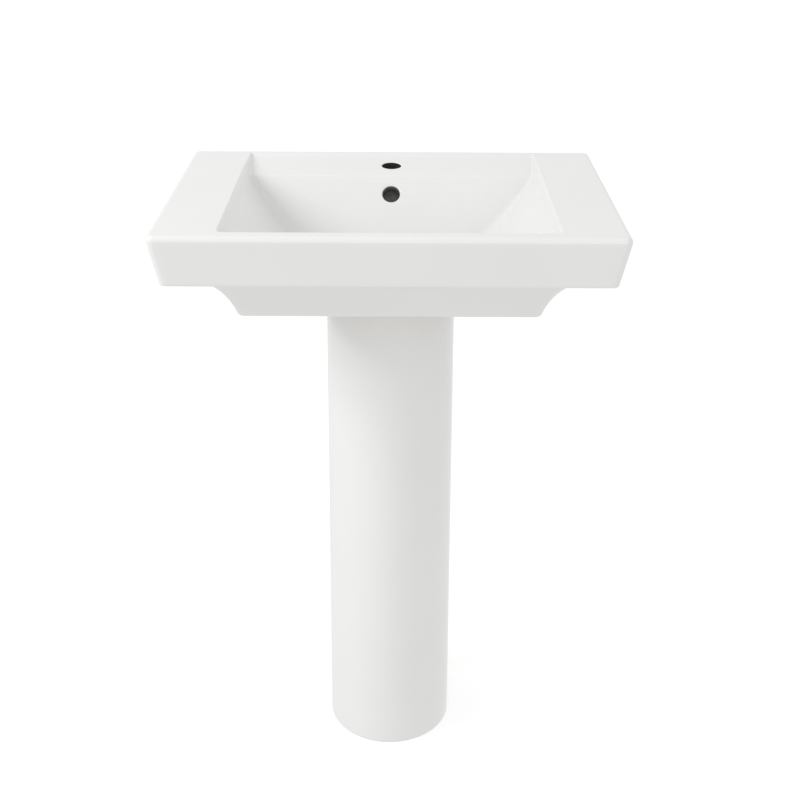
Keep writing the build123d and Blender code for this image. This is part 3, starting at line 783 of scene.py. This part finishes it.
def lower_box_rows(s, last):
    """Rows across the underside, down the hollow flare and round the lower box's edge. At
    height v above the bottom the flare stands out by a - sqrt(R^2 - (v + b)^2)."""
    apron_z = rim_z - s.apron_height
    tall = apron_z - shelf_z
    chord = math.hypot(s.flare, tall)
    reach = math.sqrt(s.flare_radius**2 - chord**2 / 4)
    a = s.flare / 2 + reach * tall / chord
    b = reach * s.flare / chord - tall / 2

    def flare(v):
        return a - math.sqrt(s.flare_radius**2 - (v + b) ** 2)

    def row(out, radius, z):
        corner = s.lower_corner
        half = s.lower_width / 2 + out - corner
        front = basin_low.y + s.lower_front - out + corner
        return (half, front, back_y - s.lower_back - corner, radius, z)

    top = row(s.flare, s.lower_corner, apron_z)
    rows = [tuple(np.array(last) * (1 - t) + np.array(top) * t) for t in (0.04, 0.35, 0.7, 0.96, 1.0)]
    edge_v = s.lower_edge
    lean = math.atan2(edge_v + b, math.sqrt(s.flare_radius**2 - (edge_v + b) ** 2))
    for v in np.linspace(tall - 0.001, edge_v * (1 - math.sin(lean)) + 0.002, 12):
        rows.append(row(flare(v), s.lower_corner, shelf_z + v))
    out = flare(edge_v) - edge_v * (1 / math.cos(lean) - 1)
    for inset, rise in zip(*fillet_rows(s.lower_edge, lean)):
        rows.append(row(out, s.lower_corner - inset, shelf_z + rise))
    return rows


def boss_rings(s, edge):
    """Rings across the bottom to the drain boss, down it and in: each starts from the edge
    ring's direction q about the drain and lies at radius r, height z."""
    offset = edge[:, :2] - [0, drain_y]
    far = np.linalg.norm(offset, axis=1, keepdims=True)
    way = offset / far
    root, rim = 0.004, 0.002
    turn = np.linspace(0, np.pi / 2, 5)
    boss = s.boss / 2
    radii = np.concatenate([
        boss + root * (1 - np.sin(turn)), boss - rim * (1 - np.cos(turn)), [boss / 2]
    ])
    heights = np.concatenate([
        shelf_z - root * (1 - np.cos(turn)), boss_z + rim * (1 - np.sin(turn)), [boss_z]
    ])
    across = [far * (1 - t) + (boss + root) * t for t in (0.03, 0.5, 0.96)]
    rings = [(r, shelf_z) for r in across] + list(zip(radii, heights))
    return np.stack([
        np.concatenate([[0, drain_y] + way * r, np.full((len(way), 1), z)], axis=1) for r, z in rings
    ])


def hole_cutter(name, radius, depth, centre, tilt, lip=0.0022, chamber=None):
    """Cutter for a glazed hole: a bore whose mouth flares in an arc to the surface, and
    with a chamber (radius, depth) a wider space behind it."""
    turn = np.linspace(0, math.radians(72), 7)
    flare = np.stack([radius + lip * (1 - np.cos(turn)), -lip + lip * np.sin(turn)], -1)
    beyond = flare[-1] + np.array([math.sin(turn[-1]), math.cos(turn[-1])]) * 0.003
    low = -depth
    start = [(0, low), (radius, low)]
    if chamber:
        wide, end = chamber
        start = [(0, -end), (wide, -end), (wide, low), (radius, low)]
    profile = np.concatenate([start, flare, [beyond, (0, beyond[1])]])
    return turned(name, profile, centre, tilt, steps=72, solid=True)


def within(x, y, z, mouth, tilt, radius, depth):
    """Whether a point is inside a round hole, by its radius about the hole's axis and its
    height along it, which leans from +Z to -Y by the tilt."""
    height = -(y - mouth[1]) * math.sin(tilt) + (z - mouth[2]) * math.cos(tilt)
    up = (y - mouth[1]) * math.cos(tilt) + (z - mouth[2]) * math.sin(tilt)
    return (height < -0.0012) & (height > -depth) & (np.hypot(x, up) < radius)


def basin_cutters(s, bowl):
    """Cutters for the basin's holes and rear pocket, and the tap and overflow holes' mouths."""
    tap_y = back_y - s.tap_setback
    tap = (0, tap_y, bowl.ledge_z + (tap_y - bowl.ledge_y) * bowl.tilt)
    over_z = rim_z - s.overflow_drop
    over = (0, bowl.ledge_y - (bowl.ledge_z - over_z) / bowl.back, over_z)
    pocket_top = bowl.ledge_z - s.wall + 0.0045
    below = boss_z - bowl.floor_z - 0.001
    drain = [
        (0, below), (s.drain_hole / 2, below), (s.drain_hole / 2, -recess_depth),
        (seal_recess, -recess_depth), (seal_recess, -0.0012), (0.0345, 0.0004),
        (0.0370, 0.003), (0, 0.003),
    ]
    cutters = [
        hole_cutter("tap_bore", s.tap_hole / 2, hole_depth, tap, s.ledge_tilt),
        hole_cutter("overflow_bore", s.overflow_hole / 2, s.wall, over, s.back_slope,
                    chamber=(duct_radius, s.wall + duct_depth)),
        turned("drain_bore", drain, (0, drain_y, bowl.floor_z), solid=True),
        rounded_block(
            "rear_pocket",
            (-pocket_half, back_y - s.lower_back + 0.003, rim_z - s.apron_height - 0.010),
            (pocket_half, back_y - s.wall, pocket_top), pocket_corner, pocket_edge,
        ),
    ]
    for side in (-1, 1):
        place = (side * s.wall_bolt_spacing / 2, back_y + 0.002, rim_z - s.wall_bolt_drop)
        bore = rod(f"bolt_bore_{side}", s.wall_bolt / 2, 0, hole_depth, place, tilt=math.pi / 2)
        cutters.append(bore)
    return cutters, tap, over


class SINK_OT_basin(Operator):
    """Makes the basin: deck, bowl, apron, lower box, drain boss and all its holes"""

    bl_idname = "sink.basin"
    bl_label = "Basin"

    def execute(self, context):
        s = context.scene.sink_basin
        bowl = BowlShape(s)
        grid, core_x, core_y = deck_grid(s, bowl)
        rows, columns = grid.shape[:2]
        number = np.arange(rows * columns).reshape(rows, columns)
        border = np.concatenate([number[0, :-1], number[:-1, -1], number[-1, :0:-1], number[:0:-1, 0]])
        edge = grid.reshape(-1, 3)[border]
        across, back = np.clip(edge[:, 0] / core_x, -1, 1), np.clip(edge[:, 1] / core_y, -1, 1)
        out = edge[:, :2] - np.stack([across * core_x, back * core_y], -1)
        out /= np.linalg.norm(out, axis=1, keepdims=True)
        skirt = apron_rows(s, core_x, core_y)
        skirt += lower_box_rows(s, skirt[-1])
        rings = outline_rows((across, (back + 1) / 2, out[:, 0], out[:, 1]), skirt)
        rings = np.concatenate([rings, boss_rings(s, rings[-1])])
        points = np.concatenate([grid.reshape(-1, 3), rings.reshape(-1, 3), [[0, drain_y, boss_z]]])
        top = np.stack([number[:-1, :-1], number[:-1, 1:], number[1:, 1:], number[1:, :-1]], -1)
        first = rows * columns
        loop = np.arange(len(border))
        seam = np.stack([border, first + loop, first + np.roll(loop, -1), np.roll(border, -1)], -1)
        below = joined(rings.shape[:2])[:, ::-1] + first
        pole = len(points) - 1
        cap = fan(first + loop[::-1] + (len(rings) - 1) * len(border), pole)
        quads = np.concatenate([top.reshape(-1, 4), seam, below])
        piece = put_mesh("basin_casting", points, quads, cap)
        cutters, tap, over = basin_cutters(s, bowl)
        combine(piece, cutters, "DIFFERENCE")

        def surfaces(x, y, z):
            """0 glaze, 1 raw clay, 2 painted shade in the tap hole, 3 painted shade in the overflow."""
            pocket_y = back_y - s.lower_back + 0.002
            raw = (y > back_y - 0.0004) | (z < shelf_z + 0.0004)
            inside = (y > pocket_y) & (y < back_y - s.wall + margin) & (z < rim_z - 0.020)
            raw |= inside & (abs(x) < pocket_half + margin)
            # faces inside the tap bore and the overflow duct take the painted shade
            bore = within(x, y, z, tap, s.ledge_tilt, s.tap_hole / 2 + 0.0006, 2 * s.wall)
            duct_end = s.wall + duct_depth + 0.002
            duct = within(x, y, z, over, s.back_slope, duct_radius + margin, duct_end)
            return np.select([bore, duct, raw], [2, 3, 1], 0)

        # the last two finishes are painted shade: near black in the tap hole, dark grey in the overflow
        finishes = [
            china_glaze(), raw_clay(),
            hole_shadow("tap_hole_clay", 0.012), hole_shadow("overflow_clay", 0.20),
        ]
        finish_piece(piece, "sink", ["basin"], finishes, surfaces)
        return {"FINISHED"}


# ---- Pedestal ----
tuck = 0.0002  # by which the tie and the foot stay inside the wall's outer faces
block_corner, block_edge = 0.003, 0.002  # roundings of the tie and the foot


def wall_path(s, steps=150):
    """Middle line of the pedestal's wall: side, half-ellipse and side, with its outward way.
    On the nose the point is (a cos t, -b sin t) and the way is the gradient (cos t / a, ...)."""
    half, middle = pedestal_high.x, pedestal_low.y + s.nose
    t = np.linspace(0, np.pi, steps)
    nose = np.stack([half * np.cos(t), middle - s.nose * np.sin(t)], -1)
    way = np.stack([np.cos(t) / half, -np.sin(t) / s.nose], -1)
    side_y = np.linspace(pedestal_high.y - s.edge, middle, 10, endpoint=False)
    right = np.stack([np.full(10, half), side_y], -1)
    left = np.stack([np.full(10, -half), side_y[::-1]], -1)
    line = np.concatenate([right, nose, left])
    out = np.concatenate([np.tile([1.0, 0], (10, 1)), way, np.tile([-1.0, 0], (10, 1))])
    return line, out / np.linalg.norm(out, axis=1, keepdims=True)


def wall_profile(s):
    """Outer and inner half of the wall's section as (depth, height), from the middle of the
    bottom to the middle of the top, with rounded edges."""
    turn = np.linspace(0, np.pi / 2, 6)
    inset, rise = s.edge * (1 - np.sin(turn)), s.edge * (1 - np.cos(turn))
    top = pedestal_high.z
    levels = np.linspace(0.03, top - 0.03, 14)
    depth = np.concatenate([[s.wall / 2], inset, np.zeros(14), inset[::-1], [s.wall / 2]])
    height = np.concatenate([[0], rise, levels, top - rise[::-1], [top]])
    return depth, height


class SINK_OT_pedestal(Operator):
    """Makes the pedestal's wall. Blender refuses its tie, foot and bolt holes, see below"""

    bl_idname = "sink.pedestal"
    bl_label = "Pedestal"

    def execute(self, context):
        s = context.scene.sink_pedestal
        line, out = wall_path(s)
        depth, height = wall_profile(s)
        section = np.concatenate([depth, s.wall - depth[-2:0:-1]])
        level = np.concatenate([height, height[-2:0:-1]])
        # each rear end closes over three narrower sections that step back to the flat end
        turn = np.linspace(np.pi / 2, 0, 4)[:-1]
        narrowing, stepping = s.edge * (1 - np.cos(turn)), s.edge * np.sin(turn)
        level_part = np.zeros(len(line))
        pinch = np.concatenate([narrowing, level_part, narrowing[::-1]])
        step = np.concatenate([stepping, level_part, stepping[::-1]])
        line = np.concatenate([np.repeat(line[:1], 3, 0), line, np.repeat(line[-1:], 3, 0)])
        out = np.concatenate([np.repeat(out[:1], 3, 0), out, np.repeat(out[-1:], 3, 0)])
        narrow = 1 - 2 * pinch / s.wall
        into = pinch[:, None] + section[None] * narrow[:, None]
        xy = line[:, None] - into[..., None] * out[:, None]
        xy[..., 1] += step[:, None]
        rings = np.concatenate([xy, np.broadcast_to(level[None, :, None], (*xy.shape[:2], 1))], -1)
        count, around = rings.shape[:2]
        outer = np.arange(len(depth))
        inner = (around - outer) % around
        strip = np.stack([outer[:-1], outer[1:], inner[1:], inner[:-1]], -1)
        corner = [np.array([[0, 1, inner[1]]]), np.array([[outer[-2], outer[-1], inner[-2]]])]
        strip, corner = strip[1:-1], np.concatenate(corner)
        far = (count - 1) * around
        quads = np.concatenate([joined((count, around)), strip, strip[:, ::-1] + far])
        caps = np.concatenate([corner, corner[:, ::-1] + far])
        piece = put_mesh("pedestal_casting", rings.reshape(-1, 3), quads, caps)
        reach = pedestal_high.x - s.wall / 2
        back, top = pedestal_high.y, pedestal_high.z
        bridge = rounded_block(
            "bridge",
            (-reach, back - s.bridge_depth, top - s.bridge_height), (reach, back - tuck, top - tuck),
            block_corner, block_edge,
        )
        foot = rounded_block(
            "foot",
            (-reach, back - s.foot_depth, tuck), (reach, back - s.edge, s.foot_height),
            block_corner, block_edge,
        )
        # the strips that close the wall's two rear ends point inwards, so Blender skips these
        # four steps: the finished piece has no tie, foot or bolt holes
        combine(piece, [bridge, foot], "UNION")
        holes = [
            rod(f"foot_bore_{side}", s.bolt / 2, -0.001, 0.020,
                (side * s.bolt_spacing / 2, back - s.foot_depth / 2, 0), steps=48)
            for side in (-1, 1)
        ]
        combine(piece, holes, "DIFFERENCE")
        middle, half = pedestal_low.y + s.nose, pedestal_high.x

        def surfaces(x, y, z):
            """0 glaze outside, 1 raw clay inside, on the foot ring and on the top edge."""
            forward = np.minimum(y - middle, 0)
            nose = (x / (half - s.wall / 2)) ** 2 + (forward / (s.nose - s.wall / 2)) ** 2
            return ((nose < 1) | (z < 0.0015) | (z > top - 0.001)).astype(int)

        finish_piece(piece, "sink", ["pedestal"], [china_glaze(), raw_clay()], surfaces)
        return {"FINISHED"}


# ---- Pop-up drain ----
thread_top = -0.034  # the thread's upper end, from the bowl's floor
port_radius, port_half = 0.005, 0.03  # overflow ports through the drain body
port_rise = 0.019  # from the drain boss up to the ports
gasket_nose = 0.0222  # radius of the gasket's tapered nose, in the drain hole


def drain_spot():
    """Middle of the drain, at the level of the bowl's floor."""
    return (0, drain_y, rim_z - bpy.context.scene.sink_basin.bowl_depth)


class SINK_OT_drain(Operator):
    """Makes the drain: threaded body, flange seal, gasket, friction ring and nut"""

    bl_idname = "sink.drain"
    bl_label = "Drain"

    def execute(self, context):
        s = context.scene.sink_drain
        floor_z = drain_spot()[2]
        socket = context.scene.sink_trap.tube / 2 + slip_fit
        tube, bore = s.tube / 2, s.bore / 2
        flange, seat = s.flange / 2, s.seat / 2
        threaded = [(tube, h) for h in np.arange(thread_top, -s.tail + 0.002, -s.thread_pitch / 6)]
        head = soften([
            (bore, -s.seat_depth), (seat, 0), (flange - 0.001, 0), (flange, -0.0012),
            (flange, -s.flange_thick), (tube, -s.flange_thick), (tube, -0.033),
        ], 0.0005, closed=False)
        foot = soften([
            (tube, -s.tail + 0.001), (tube, -s.tail), (socket, -s.tail),
            (socket, -s.tail + s.engagement), (bore, -s.tail + s.engagement), (bore, -0.04),
        ], 0.0004, closed=False)
        profile = np.concatenate([head, threaded, foot])
        thread = (-s.tail, thread_top, s.thread_pitch, s.thread_depth, tube)
        body = turned("drain_body_chrome", profile, drain_spot(), thread=thread)
        ports = [
            rod(f"port_bore_{k}", port_radius, -port_half, port_half, (0, 0, 0), steps=32)
            for k in range(2)
        ]
        lying = Matrix.Rotation(math.pi / 2, 4, "Y")
        for k, port in enumerate(ports):
            across = Matrix.Rotation(math.radians(45 + 90 * k), 4, "Z") @ lying
            port.data.transform(Matrix.Translation((0, drain_y, boss_z + port_rise)) @ across)
        combine(body, ports, "DIFFERENCE")
        stands_for(body, "drain_body")
        clear = tube + slip_fit
        for node, inner, outer, edge in (
            ("drain_flange_seal", clear, 0.032, 0.0007),
            ("drain_friction_ring", clear, 0.030, 0.0005),
        ):
            low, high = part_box(node)
            rings = ring_profile(inner, outer, low.z - floor_z, high.z - floor_z, edge)
            stands_for(turned(node + "_ring", rings, drain_spot()), node)
        low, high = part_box("drain_gasket")
        outer, nose = high.x, gasket_nose
        gasket = soften([
            (clear, low.z), (outer, low.z), (outer, boss_z - 0.002), (outer - 0.002, boss_z),
            (nose, boss_z), (nose - 0.0006, high.z), (clear, high.z),
        ], 0.0006)
        stands_for(turned("drain_gasket_rubber", gasket, (0, drain_y, 0)), "drain_gasket")
        low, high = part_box("drain_nut")
        stands_for(hex_nut("drain_nut_hex", s.nut_flats, low.z, high.z, clear, drain_y), "drain_nut")
        return {"FINISHED"}


def hex_nut(name, flats, low, high, bore, y, skirt=None):
    """Six-sided nut, its corners taken off by a 30 degree cone; skirt = (radius, height)
    widens the bore up to that height."""
    corner, edge = flats / math.sqrt(3), flats / 2
    rise = (corner - edge) / math.sqrt(3)
    inner = [(bore, high), (bore, low)]
    if skirt:
        inner = [(bore, high), (bore, skirt[1]), (skirt[0], skirt[1]), (skirt[0], low)]
    outline = [(edge, low), (corner, low + rise), (corner, high - rise), (edge, high)]
    return turned(name, soften(outline + inner, 0.0005), (0, y, 0), flats=flats, steps=144)


class SINK_OT_stopper(Operator):
    """Makes the push-open stopper: cap, seal, stem, spring and the finish of its cartridge"""

    bl_idname = "sink.stopper"
    bl_label = "Stopper"

    def execute(self, context):
        s = context.scene.sink_drain
        low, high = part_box("stopper_cap")
        rim, plug, dome = high.x, 0.010, 0.002
        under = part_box("stopper_seal")[1].z
        radius = (rim**2 + dome**2) / (2 * dome)
        across = np.linspace(0, rim - 0.0008, 14)
        crown = high.z - radius + np.sqrt(radius**2 - across**2)
        edge = soften([
            (across[-1], crown[-1]), (rim, crown[-1] - 0.0008), (rim, under), (plug, under),
            (plug, low.z), (0, low.z),
        ], 0.0007, closed=False)
        profile = np.concatenate([np.stack([across, crown], -1)[:-1], edge])
        cap = turned("stopper_cap_chrome", profile, (0, drain_y, 0), solid=True, steps=128)
        stands_for(cap, "stopper_cap")
        low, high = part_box("stopper_seal")
        cone = (s.seat - s.bore) / 2 / s.seat_depth
        narrow = high.x - (high.z - low.z) * cone
        seal = soften([(plug, low.z), (narrow, low.z), (high.x, high.z), (plug, high.z)], 0.0005)
        stands_for(turned("stopper_seal_rubber", seal, (0, drain_y, 0)), "stopper_seal")
        low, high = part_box("stopper_stem")
        outline = [(0, low.z), (high.x, low.z), (high.x, high.z), (0, high.z)]
        bar = soften(outline, 0.0006, closed=False)
        stem = turned("stopper_stem_rod", bar, (0, drain_y, 0), solid=True, steps=48)
        stands_for(stem, "stopper_stem")
        self.spring(s)
        cartridge = frame["nodes"]["stopper_cartridge"]
        cartridge.data.materials.clear()
        cartridge.data.materials.append(finish_of_slot[slot_of["stopper_cartridge"]]())
        return {"FINISHED"}

    def spring(self, s):
        """Wire along the helix (r cos a, r sin a, rise(a)). The end turns lie flat, apart from
        a small rise shared out over the whole wire, so that they do not touch."""
        low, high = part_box("stopper_spring")
        wire = s.spring_wire / 2
        radius = (high.x - low.x) / 2 - wire
        turns, steps = 7.0, 40
        flat_turns, shared = 0.75, 0.2
        a = np.linspace(0, turns * 2 * np.pi, int(turns * steps))
        share = np.clip((a / (2 * np.pi) - flat_turns) / (turns - 2 * flat_turns), 0, 1)
        rest = (a / (2 * np.pi)) / turns * 2 * wire * shared
        z = low.z + wire + share * (high.z - low.z - 2 * wire - 2 * wire * shared) + rest
        out, upward = np.stack([np.cos(a), np.sin(a), 0 * a], -1), [0, 0, 1]
        centre = [0, drain_y, 0] + radius * out + z[:, None] * upward
        around = (np.arange(14) * 2 * np.pi / 14)[None, :, None]
        circle = np.cos(around) * out[:, None] + np.sin(around) * upward
        rings = centre[:, None] + wire * circle
        piece = put_rings("stopper_spring_coil", rings, [centre[0], centre[-1]])
        stands_for(piece, "stopper_spring")
        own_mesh(piece)


# ---- Tailpiece and trap ----
class SINK_OT_trap(Operator):
    """Makes the tailpiece, the trap, its slip joints, the cleanout and the wall plate"""

    bl_idname = "sink.trap"
    bl_label = "Trap"

    def execute(self, context):
        s = context.scene.sink_trap
        outer, inner = s.tube / 2, s.tube / 2 - s.tube_wall
        tail = ring_profile(inner, outer, tail_low.z, tail_high.z, 0.0003)
        stands_for(turned("tailpiece_tube", tail, (0, drain_y, 0)), "tailpiece")
        self.bend(s, inner)
        self.arm(s, outer, inner)
        self.joints(s, outer)
        self.cleanout(s)
        self.wall_plate(s)
        return {"FINISHED"}

    def bend(self, s, inner):
        """U of the trap: hubs of one radius run into a slimmer bend over a short cone."""
        low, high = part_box("trap_bend")
        hub = s.tube / 2 + slip_fit + s.hub_wall
        rear_y = high.y - hub
        bend = (rear_y - drain_y) / 2
        step_z = high.z - s.insertion
        middle_z = step_z - 0.018
        points, heading = route(
            straight((drain_y, high.z), (drain_y, middle_z), 40),
            curved((drain_y + bend, middle_z), bend, math.pi, 2 * math.pi, 48),
            straight((rear_y, middle_z), (rear_y, high.z), 40),
            end=(rear_y, high.z),
        )
        above = points[:, 1] - middle_z
        slim = s.tube / 2 + 0.0012
        outside = np.interp(above, [0.004, 0.012], [slim, hub])
        bead = 0.0009 * np.exp(-(((above - (high.z - middle_z) + 0.0035) / 0.0018) ** 2))
        inside = np.where(above > step_z - middle_z, s.tube / 2 + slip_fit, inner)
        piece = piped("trap_bend_cast", points, heading, outside - bead, inside)
        y = drain_y + bend
        top = middle_z - bend - inner - 0.001
        boss = rod("cleanout_boss", s.cleanout / 2 + 0.004, low.z, top + 0.001, (0, y, 0))
        combine(piece, [boss], "UNION")
        bore = rod("cleanout_bore", s.cleanout / 2, low.z - 0.001, top + 0.006, (0, y, 0))
        combine(piece, [bore], "DIFFERENCE")
        stands_for(piece, "trap_bend")

    def arm(self, s, outer, inner):
        """Tube up from the union, round the elbow and back to the wall."""
        y, wall = arm_low.y + outer, arm_high.y
        z, turn = arm_high.z - outer, s.elbow
        points, heading = route(
            straight((y, arm_low.z), (y, z - turn), 10),
            curved((y + turn, z - turn), turn, math.pi, math.pi / 2, 32),
            straight((y + turn, z), (wall, z), 14),
            end=(wall, z),
        )
        radius = np.full(len(points), outer)
        piece = piped("trap_arm_tube", points, heading, radius, np.full(len(points), inner))
        stands_for(piece, "trap_arm")

    def joints(self, s, outer):
        """Slip nut and tapered washer at each end of the bend."""
        hub = outer + slip_fit + s.hub_wall
        bore = outer + slip_fit
        for place in ("inlet", "union"):
            low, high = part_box(f"trap_{place}_washer")
            y = (low.y + high.y) / 2
            washer = soften([
                (bore, low.z), (hub, low.z), (hub, low.z + 0.0015), (bore + 0.0012, high.z),
                (bore, high.z),
            ], 0.0004)
            stands_for(turned(f"{place}_washer", washer, (0, y, 0)), f"trap_{place}_washer")
            skirt = (hub + slip_fit, high.z)
            low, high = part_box(f"trap_{place}_nut")
            nut = hex_nut(f"{place}_slip_nut", s.nut_flats, low.z, high.z, outer + 2 * slip_fit, y, skirt)
            stands_for(nut, f"trap_{place}_nut")

    def cleanout(self, s):
        """Washer and plug under the bend: a chamfered hexagon with a plain stub above it."""
        low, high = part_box("cleanout_gasket")
        y = (low.y + high.y) / 2
        washer = ring_profile(s.cleanout / 2, high.x, low.z, high.z, 0.0004)
        stands_for(turned("cleanout_washer", washer, (0, y, 0)), "cleanout_gasket")
        head_z = low.z
        low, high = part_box("cleanout_plug")
        corner, edge = s.plug_flats / math.sqrt(3), s.plug_flats / 2
        rise = (corner - edge) / math.sqrt(3)
        stub = s.cleanout / 2 - slip_fit
        outline = soften([
            (0, low.z), (edge, low.z), (corner, low.z + rise), (corner, head_z - rise), (edge, head_z),
            (stub, head_z), (stub, high.z), (0, high.z),
        ], 0.0004, closed=False)
        shape = {"solid": True, "flats": s.plug_flats, "steps": 144}
        stands_for(turned("cleanout_plug_hex", outline, (0, y, 0), **shape), "cleanout_plug")

    def wall_plate(self, s):
        """Dished plate: the profile's height is measured out from the wall."""
        low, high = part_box("wall_escutcheon")
        rim, deep, bore = high.x, high.y - low.y, s.tube / 2 + 0.0003
        outline = soften([
            (bore, deep), (bore + 0.006, deep), (bore + 0.012, deep * 0.55), (rim, s.tube_wall),
            (rim, 0), (rim - 0.003, 0), (bore + 0.011, deep * 0.4),
            (bore + 0.005, deep - s.tube_wall), (bore, deep - s.tube_wall),
        ], 0.0025, steps=6)
        centre = (0, high.y, (low.z + high.z) / 2)
        plate = turned("wall_plate_dished", outline, centre, tilt=math.pi / 2, steps=128)
        stands_for(plate, "wall_escutcheon")


# ---- Stage ----
def aimed(place, target):
    """Turn that points a light's -Z from its place at the target."""
    return (Vector(target) - Vector(place)).to_track_quat("-Z", "Y").to_matrix().to_4x4()


def soft_light(name, place, target, size, power):
    data = bpy.data.lights.new(name, "AREA")
    data.shape = "RECTANGLE"
    data.size, data.size_y = size
    data.energy = power
    light = bpy.data.objects.new(name, data)
    light.visible_camera = False
    light.matrix_world = Matrix.Translation(place) @ aimed(place, target)
    bpy.context.scene.collection.objects.link(light)


class SINK_OT_stage(Operator):
    """Makes the floor, the lights and the camera"""

    bl_idname = "sink.stage"
    bl_label = "Stage"

    def execute(self, context):
        s = context.scene.sink_stage
        scene = context.scene
        reach = 30.0
        corners = np.array([(-1, -1, 0), (1, -1, 0), (1, 1, 0), (-1, 1, 0)], float) * reach
        floor = put_mesh("studio_floor", corners, [[0, 1, 2, 3]])
        base = scene.sink_finishes.floor
        finish = Finish("studio_paper", Emission_Strength=0.65, Emission_Color=(1, 1, 1, 1))
        finish.tint(finish.noise(3.0, 4), shade(base, 0.995), base)
        finish.rough(finish.noise(40.0, 3), 0.8, 0.9)
        floor.data.materials.append(finish.material)
        floor.visible_diffuse = False
        floor.visible_glossy = False
        world = bpy.data.worlds.new("studio_room")
        world.use_nodes = True
        world.node_tree.nodes["Background"].inputs["Color"].default_value = (1, 1, 1, 1)
        world.node_tree.nodes["Background"].inputs["Strength"].default_value = s.world
        scene.world = world
        target = (0, 0, 0.75)
        soft_light("key", (-2.4, -0.9, 2.5), target, (1.3, 1.3), s.key)
        soft_light("fill", (0.4, -3.4, 1.3), target, (2.4, 1.6), s.fill)
        self.camera(scene, s)
        scene.view_settings.view_transform = "Standard"
        return {"FINISHED"}

    def camera(self, scene, s):
        """Camera that looks along +Y, pitched down and rolled about its own view."""
        data = bpy.data.cameras.new("camera")
        data.lens, data.sensor_width = s.lens, 36.0
        camera = bpy.data.objects.new("camera", data)
        yaw = Matrix.Rotation(-s.yaw, 4, "Z")
        tip = Matrix.Rotation(math.pi / 2 - s.pitch, 4, "X")
        roll = Matrix.Rotation(s.roll, 4, "Z")
        place = Matrix.Translation((s.camera_x, s.camera_y, s.camera_z))
        camera.matrix_world = place @ yaw @ tip @ roll
        scene.collection.objects.link(camera)
        scene.camera = camera


class SINK_PT_panel(Panel):
    """Lists the sink's pieces and the stage"""

    bl_idname = "SINK_PT_panel"
    bl_label = "Pedestal sink"
    bl_space_type = "VIEW_3D"
    bl_region_type = "UI"
    bl_category = "Sink"

    def draw(self, context):
        for operator in operators:
            self.layout.operator(operator.bl_idname)
        for group in groups:
            box = self.layout.box()
            for name in groups[group].__annotations__:
                box.prop(getattr(context.scene, group), name)


groups = {
    "sink_basin": BasinSizes,
    "sink_pedestal": PedestalSizes,
    "sink_drain": DrainSizes,
    "sink_trap": TrapSizes,
    "sink_finishes": Finishes,
    "sink_stage": StageSizes,
}
operators = (
    SINK_OT_basin, SINK_OT_pedestal, SINK_OT_drain, SINK_OT_stopper, SINK_OT_trap, SINK_OT_stage
)


def register():
    for kind in (*groups.values(), *operators, SINK_PT_panel):
        bpy.utils.register_class(kind)
    for name, kind in groups.items():
        setattr(bpy.types.Scene, name, PointerProperty(type=kind))


def unregister():
    for name in groups:
        delattr(bpy.types.Scene, name)
    for kind in (SINK_PT_panel, *operators, *groups.values()):
        bpy.utils.unregister_class(kind)


def main():
    register()
    bpy.ops.sink.basin()
    bpy.ops.sink.pedestal()
    bpy.ops.sink.drain()
    bpy.ops.sink.stopper()
    bpy.ops.sink.trap()
    bpy.ops.sink.stage()


if __name__ == "__main__":
    main()
